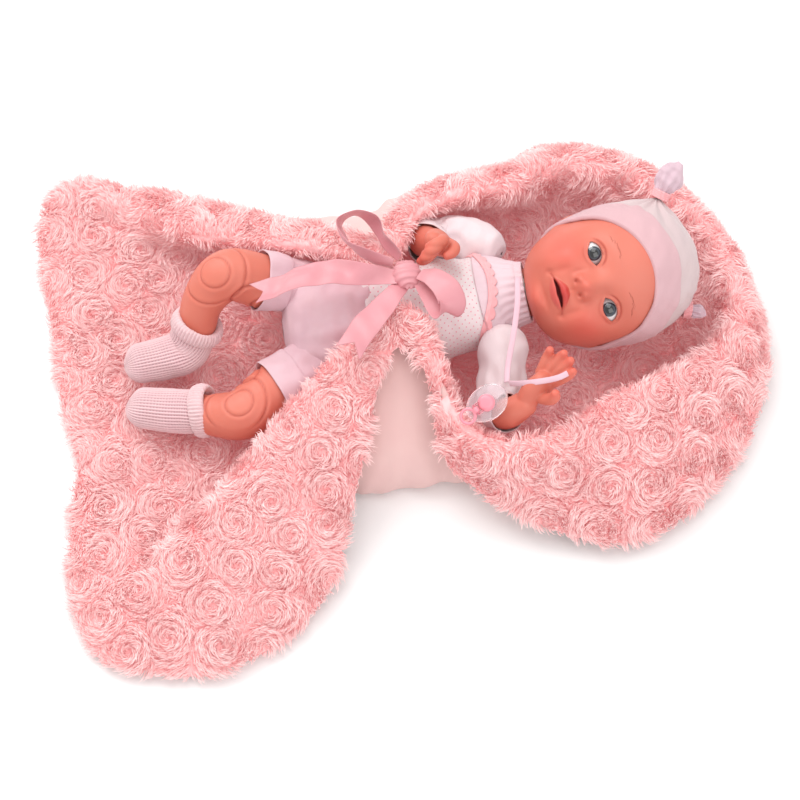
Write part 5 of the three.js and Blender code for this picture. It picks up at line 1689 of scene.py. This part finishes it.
def make_sock_roll(side):
    """The thick ribbed roll at the top of a sock."""
    at, away = ankle(side)
    across = unit(np.cross(away, [0.1, 0.9, 0.2]))
    other = np.cross(away, across)
    loop = full_turn(ROLL_COLUMNS)[:, None]
    section = full_turn(ROLL_SECTION)[None]
    spoke = across * np.cos(loop) + other * np.sin(loop)
    ribbing = 0.35 * np.cos(loop * ROLL_RIBS) + 0.3 * np.sin(loop * 3 + 1)
    deep = (ROLL_DEPTH + ribbing) * np.cos(section)
    tall = ROLL_HALF_HEIGHT * np.sin(section) + 0.5 * np.sin(loop * 2)
    ring = at + away * 4.8 + spoke[:, None] * (ROLL_RADIUS + deep)[..., None] + away * tall[..., None]
    fuzz = smooth_noise(ring.reshape(-1, 3), 3.2, 95).reshape(deep.shape) * 0.22
    ring = ring + spoke[:, None] * fuzz[..., None]
    quads = torus_quads(ROLL_COLUMNS, ROLL_SECTION)
    roll = new_object("sock_roll_" + side, ring, quads, WOOL, uv=together(loop * 14, section * 3))
    # Painted shade in the valleys between the roll's ribs.
    groove = 0.25 * step(0.3, 1, -np.cos(loop * ROLL_RIBS))
    paint(roll, "groove", np.broadcast_to(groove, deep.shape).ravel())
    finish_piece(roll, "wool", side + "_leg", "sock_cuff_" + side)


# ---- Ribbons ----
def at_rows(values, at):
    """Rows of values at places between them."""
    low = np.minimum(at.astype(int), len(values) - 2)
    t = (at - low)[:, None]
    return values[low] * (1 - t) + values[low + 1] * t


def ribbon(
    name, path, across, width, material, per_step, columns, bow, waves, seed, thickness=0.35, notch=0.0
):
    """A flat band on a smooth path, with its cut end notched, its middle bowed and soft waves in it."""
    line = spline(np.array(path, float), per_step, False)
    over = unit(spline(np.array(across, float), per_step, False))
    tangent = unit(np.gradient(line, axis=0))
    over = unit(over - tangent * (over * tangent).sum(1, keepdims=True))
    normal = np.cross(tangent, over)
    share = np.linspace(0, 1, len(line))
    side = np.linspace(-1, 1, columns)
    length = np.linalg.norm(np.diff(line, axis=0), axis=1).sum()
    wide = spline(np.broadcast_to(width, len(path))[:, None], per_step, False)[:, 0]
    rows = np.zeros((len(line), columns, 3))
    for k, s in enumerate(side):
        at = share * (1 - notch / length * (1 - abs(s))) * (len(line) - 1)
        half = np.interp(at, np.arange(len(line)), wide)[:, None] / 2
        lift = at_rows(normal, at) * bow * (1 - s * s)
        rows[:, k] = at_rows(line, at) + at_rows(over, at) * half * s + lift
    lifts = np.repeat(normal[:, None], columns, 1)
    wave = waves * smooth_noise(rows.reshape(-1, 3), 17, seed)
    rows = rows + lifts * wave.reshape(rows.shape[:2])[..., None]
    stacked = np.concatenate([rows + lifts * thickness / 2, (rows - lifts * thickness / 2)[:, ::-1]], 1)
    around = 2 * columns
    caps = []
    for row in (0, len(line) - 1):
        first = row * around
        for k in range(columns - 1):
            cap = [first + k, first + k + 1, first + around - 2 - k, first + around - 1 - k]
            caps.append(cap if row else cap[::-1])
    quads = np.concatenate([grid_quads(len(line), around, True), caps])
    uv = together(np.concatenate([side, side[::-1]])[None] * 8, (share * length)[:, None])
    return new_object(name, stacked, quads, material, uv=uv), length


# Each band of the bow: its path, the way its width lies, its width and how it bends.
BOW = {
    "bow_loop_far": dict(
        path=[
            (-8, 8.5, 93), (-15, 20, 95), (-20, 34, 96), (-30, 41, 96), (-39, 35, 95), (-35, 21, 94),
            (-24, 12, 93), (-12, 5.5, 92),
        ],
        across=[
            (0.2, 0, 1), (0.3, -0.1, 1), (0.3, -0.2, 1), (0, -0.3, 1), (-0.3, -0.2, 1), (-0.5, 0.2, 1),
            (-0.4, 0.3, 1), (0, 0.3, 1),
        ],
        width=[8, 12, 13.5, 14, 14, 13.5, 11, 7.5],
        bow=1.2,
        waves=0.7,
    ),
    "bow_loop_near": dict(
        path=[
            (2, -4, 92.5), (9, -10, 96.5), (15, -18, 96.5), (17.5, -27, 92.5), (12, -29, 88.6),
            (7, -19, 89), (1.5, -8, 89.5),
        ],
        across=[
            (0.7, 0.7, 0), (0.8, 0.6, 0), (0.9, 0.4, 0), (1, 0.2, 0), (1, 0.1, 0), (0.9, 0.4, 0),
            (0.8, 0.6, 0),
        ],
        width=[8, 13, 16, 16.5, 16, 13, 8],
        bow=0.8,
        waves=0.5,
    ),
    "bow_tail_far": dict(
        path=[(-11, -3.5, 91), (-30, 0, 93.5), (-50, 4, 95), (-68, 3, 95), (-84, 0, 93), (-96, -2, 91)],
        across=[(0, 0.9, 0.4), (0, 0.8, 0.6), (0.2, 1, 0)] + [(0.3, 1, -0.2)] * 3,
        width=[8, 13, 16, 16.5, 16.5, 16.5],
        notch=9.0,
        bow=1.0,
        waves=1.0,
    ),
    "bow_tail_near": dict(
        path=[(-8, -6.5, 87.5), (-21, -20, 90), (-34, -33, 91), (-47, -47, 87)],
        across=[(0.8, -0.5, 0), (0.8, -0.6, 0), (0.75, -0.65, 0), (0.75, -0.65, 0)],
        width=[8, 14, 16.5, 16.5],
        notch=7.0,
        bow=0.8,
        waves=0.9,
    ),
}
BOW_SEED = 110
KNOT_CENTRE = np.array([-5.0, -1.0, 88.0])
KNOT_RADII = np.array([8.2, 9.2, 6.4])
KNOT_PLEATS = 13


def make_bow():
    for number, (name, made) in enumerate(BOW.items()):
        band, length = ribbon(
            "satin_" + name[4:], material=SATIN, per_step=26, columns=25, seed=BOW_SEED + number, **made
        )
        finish_piece(band, "satin", ROOT, name)
    turn = np.linspace(0.02, math.pi - 0.02, 60)
    angle = full_turn(120)
    directions = ball(turn, angle)[..., [0, 2, 1]]
    swell = 1 + 0.05 * np.sin(turn * KNOT_PLEATS)[:, None] + 0.06 * np.cos(angle * 2 + 0.4)[None]
    points = directions * KNOT_RADII * swell[..., None] + KNOT_CENTRE
    uv = together(angle[None] * 8, turn[:, None] * 8)
    knot = new_object("satin_knot", points, grid_quads(len(turn), len(angle), True), SATIN, uv=uv)
    finish_piece(knot, "satin", ROOT, "bow_knot")


# ---- Trim ----
TRIM_PATH = [
    (36, 31, 0), (41, 22, 0), (44.5, 10, 0), (45.5, 0, 0), (44.5, -11, 0), (41, -21, 0), (36, -30, 0),
]
TRIM_PLAIN = 2.0  # from the trim's middle to its straight edge
TRIM_ROOT = 1.6  # from its middle to where the scallops start
SCALLOP = 2.2
SCALLOP_PITCH = 6.2
TRIM_COLUMNS = 15
ABOVE_DOLL = 110


def make_trim(tree):
    """A scalloped band that lies on the shirt along the seam of the yoke."""
    path = spline(np.array(TRIM_PATH, float), 34, False)
    side = np.cross([0, 0, 1.0], unit(np.gradient(path, axis=0)))
    along = path_lengths(path)
    share = np.linspace(-1, 1, TRIM_COLUMNS)
    scallop = SCALLOP * np.abs(np.sin(math.pi * along / SCALLOP_PITCH)) ** 0.7
    reach = np.where(share[None] < 0, share[None] * (TRIM_ROOT + scallop)[:, None], share[None] * TRIM_PLAIN)
    flat = path[:, None] - side[:, None] * reach[..., None]
    heights = np.zeros(reach.shape)
    for i, j in np.ndindex(*reach.shape):
        hit = tree.ray_cast(Vector((flat[i, j, 0], flat[i, j, 1], ABOVE_DOLL)), Vector((0, 0, -1)))
        heights[i, j] = hit[0][2] if hit[0] is not None else np.nan
    for column in heights.T:
        good = ~np.isnan(column)
        column[:] = np.interp(np.arange(len(column)), np.nonzero(good)[0], column[good])
    bead = 0.55 * np.sin(math.pi * np.clip((share + 1) / 2 * 0.98 + 0.01, 0, 1))
    bead = bead + 0.3 * bell(share + 0.05, 0.2)
    top, bottom = flat.copy(), flat.copy()
    top[..., 2] = heights + 1.3 + bead[None]
    bottom[..., 2] = heights + 0.3
    stacked = np.concatenate([top, bottom[:, ::-1]], 1)
    uv = together(np.concatenate([share, share[::-1]])[None] * 4, along[:, None])
    quads = grid_quads(len(path), 2 * TRIM_COLUMNS, True)
    finish_piece(new_object("scalloped_trim", stacked, quads, TRIM, uv=uv), "trim", ROOT, "shirt_trim")


# ---- Lanyard ----
LANYARD_WIDTH = 3.4
LANYARD_THICKNESS = 0.4
LANYARD_STEPS = 20
LANYARD_PATH = [(61, -5, 74), (57.5, -23, 72.5), (52, -41, 69), (46, -58, 66), (43, -70, 67.5)]
LANYARD_ACROSS = [(1, 0.2, 0), (1, 0.25, 0), (1, 0.3, 0.1), (1, 0.35, 0.2), (1, 0.4, 0.3)]
HAND_PATH = [(44, -72, 69), (49, -76, 75), (56, -79, 80), (65, -81, 84), (71, -81.5, 86.5), (76, -80, 87)]
HAND_ACROSS = [(0, 0.5, 0.8), (0, 0.6, 0.8), (0, 0.8, 0.6), (-0.2, 0.8, 0.5)] + [(-0.3, 0.9, 0.4)] * 2


def make_lanyard():
    """The lanyard's two bands. A band too narrow to be a sheet is a flat cord: its diameter is its width."""
    bands = [
        ("lanyard", LANYARD_PATH, LANYARD_ACROSS, 0.35, 0.15, 131, ROOT, "lanyard_ribbon", "taut"),
        ("lanyard_at_hand", HAND_PATH, HAND_ACROSS, 0.3, 0.2, 132, "left_arm", "lanyard_hand_loop", "loose"),
    ]
    for name, path, across, bow, waves, seed, body, node, lay in bands:
        band, _ = ribbon(
            name, path, across, LANYARD_WIDTH, RIBBON_CLOTH, LANYARD_STEPS, 9, bow, waves, seed,
            LANYARD_THICKNESS,
        )
        finish_piece(band, "lilac_jersey", body, node)


# ---- Pacifier ----
PACIFIER_PLACE = np.array([29.0, -84.0, 72.0])
PACIFIER_AXES = rotation([math.degrees(v) for v in (0.45, -0.25, 0.5)])
SHIELD_ROUND = 10 / 13  # the shield's height over its width
SHIELD_BEND = 0.012
LUG_X = -7.0
LUG_RADIUS = 1.9
RING_RADIUS = 4.2
RING_WIRE = 0.9
RING_Z = 6.6
RING_X = LUG_X - LUG_RADIUS - RING_RADIUS + 0.2
# Outlines of radius and height, turned about the pacifier's axis; 0.01 stands for the axis itself.
SHIELD_OUTLINE = [(0.01, 2.1), (6, 2), (11.4, 2), (13, 1.2), (13, 0.7), (11.4, 0), (6, 0), (0.01, 0)]
HUB_OUTLINE = [(0.01, 4.4), (3.6, 4.4), (4, 4), (4, 1.5), (0.01, 1.5)]
NIPPLE_OUTLINE = [(0.01, -9.4), (2.6, -9.2), (4.3, -7.4), (4.4, -5.6), (3.1, -3.2), (3, -0.4), (0.01, -0.3)]
KNOB_OUTLINE = [(0.01, 4.6), (4.6, 4.6), (5, 5.2), (4.6, 6.2), (3.2, 7.1), (0.01, 7.4)]
PIN_OUTLINE = [(0.01, 3.2), (0.7, 3.2), (0.7, -3.2), (0.01, -3.2)]
LUG_OUTLINE = [(1, 1.6), (1.7, 1.6), (1.9, 1.4), (1.9, -1.4), (1.7, -1.6), (1, -1.6), (1, 1.6)]
CHEEK = (5, 1.2, 2.0)
CHEEK_PLACES = [(-5.2, 2.8, RING_Z), (-5.2, -2.8, RING_Z)]


def rounded(profile):
    return np.maximum(spline(np.array(profile, float), 6, False), [[0.01, -50]])


def turned(profile, columns, squash=1.0):
    """A shape turned about Z from (radius, height) stations, as points and quads."""
    line = np.array(profile, float)
    angle = full_turn(columns)
    radius, height = line[:, :1], line[:, 1:]
    grid = together(radius * np.cos(angle), radius * np.sin(angle) * squash, height)
    return grid.reshape(-1, 3), grid_quads(len(line), columns, True)


def cross_turned(profile, columns):
    """A shape turned about the line through the lug, across the pacifier."""
    points, quads = turned(profile, columns)
    return points[:, [0, 2, 1]] + [LUG_X, 0, RING_Z], quads


def rounded_box(size, radius):
    """A box with rounded edges, as points and quads: a ball's grid pushed out to the box's corners."""
    turn = np.linspace(0.01, math.pi - 0.01, 25)
    angle = (np.arange(48) + 0.5) / 48 * 2 * math.pi
    directions = ball(turn, angle).reshape(-1, 3)
    corner = np.sign(directions) * (np.array(size) / 2 - radius)
    return corner + directions * radius, grid_quads(25, 48, True)


def pacifier_piece(name, parts, material, slot, body, node):
    points, quads = joined(parts)
    made = new_object(name, points @ PACIFIER_AXES.T + PACIFIER_PLACE, quads, material)
    finish_piece(made, slot, body, node)


def make_pacifier():
    points, quads = turned(rounded(SHIELD_OUTLINE), 96, SHIELD_ROUND)
    points[:, 2] += SHIELD_BEND * points[:, 0] ** 2
    shield = [(points, quads), turned(HUB_OUTLINE, 48)]
    pacifier_piece("pacifier_plate", shield, CLEAR, "clear_plastic", ROOT, "pacifier_shield")
    teat = [turned(rounded(NIPPLE_OUTLINE), 48)]
    pacifier_piece("pacifier_teat", teat, CLEAR, "clear_plastic", ROOT, "pacifier_nipple")
    cheek, cheek_quads = rounded_box(CHEEK, 0.35)
    knob = [turned(rounded(KNOB_OUTLINE), 56)]
    knob += [(cheek + place, cheek_quads) for place in CHEEK_PLACES]
    knob.append(cross_turned(PIN_OUTLINE, 20))
    pacifier_piece("pacifier_button", knob, PINK, "pink_plastic", ROOT, "pacifier_knob")
    loop, wire = full_turn(72)[:, None], full_turn(16)[None]
    radius = RING_RADIUS + RING_WIRE * np.cos(wire)
    circle = together(radius * np.cos(loop), radius * np.sin(loop), RING_WIRE * np.sin(wire))
    circle = circle.reshape(-1, 3) + [RING_X, 0, RING_Z]
    ring = [(circle, torus_quads(72, 16)), cross_turned(LUG_OUTLINE, 40)]
    pacifier_piece("pacifier_loop", ring, PINK, "pink_plastic", "ring", "pacifier_ring")


make_limbs()
shirt_tree = make_body_clothes()
for side_name in SIDES:
    make_sleeve(side_name)
    make_shorts_leg(side_name)
for side_name in SIDES:
    make_sock(side_name)
    make_sock_roll(side_name)
make_trim(shirt_tree)
make_bow()
make_lanyard()
make_pacifier()
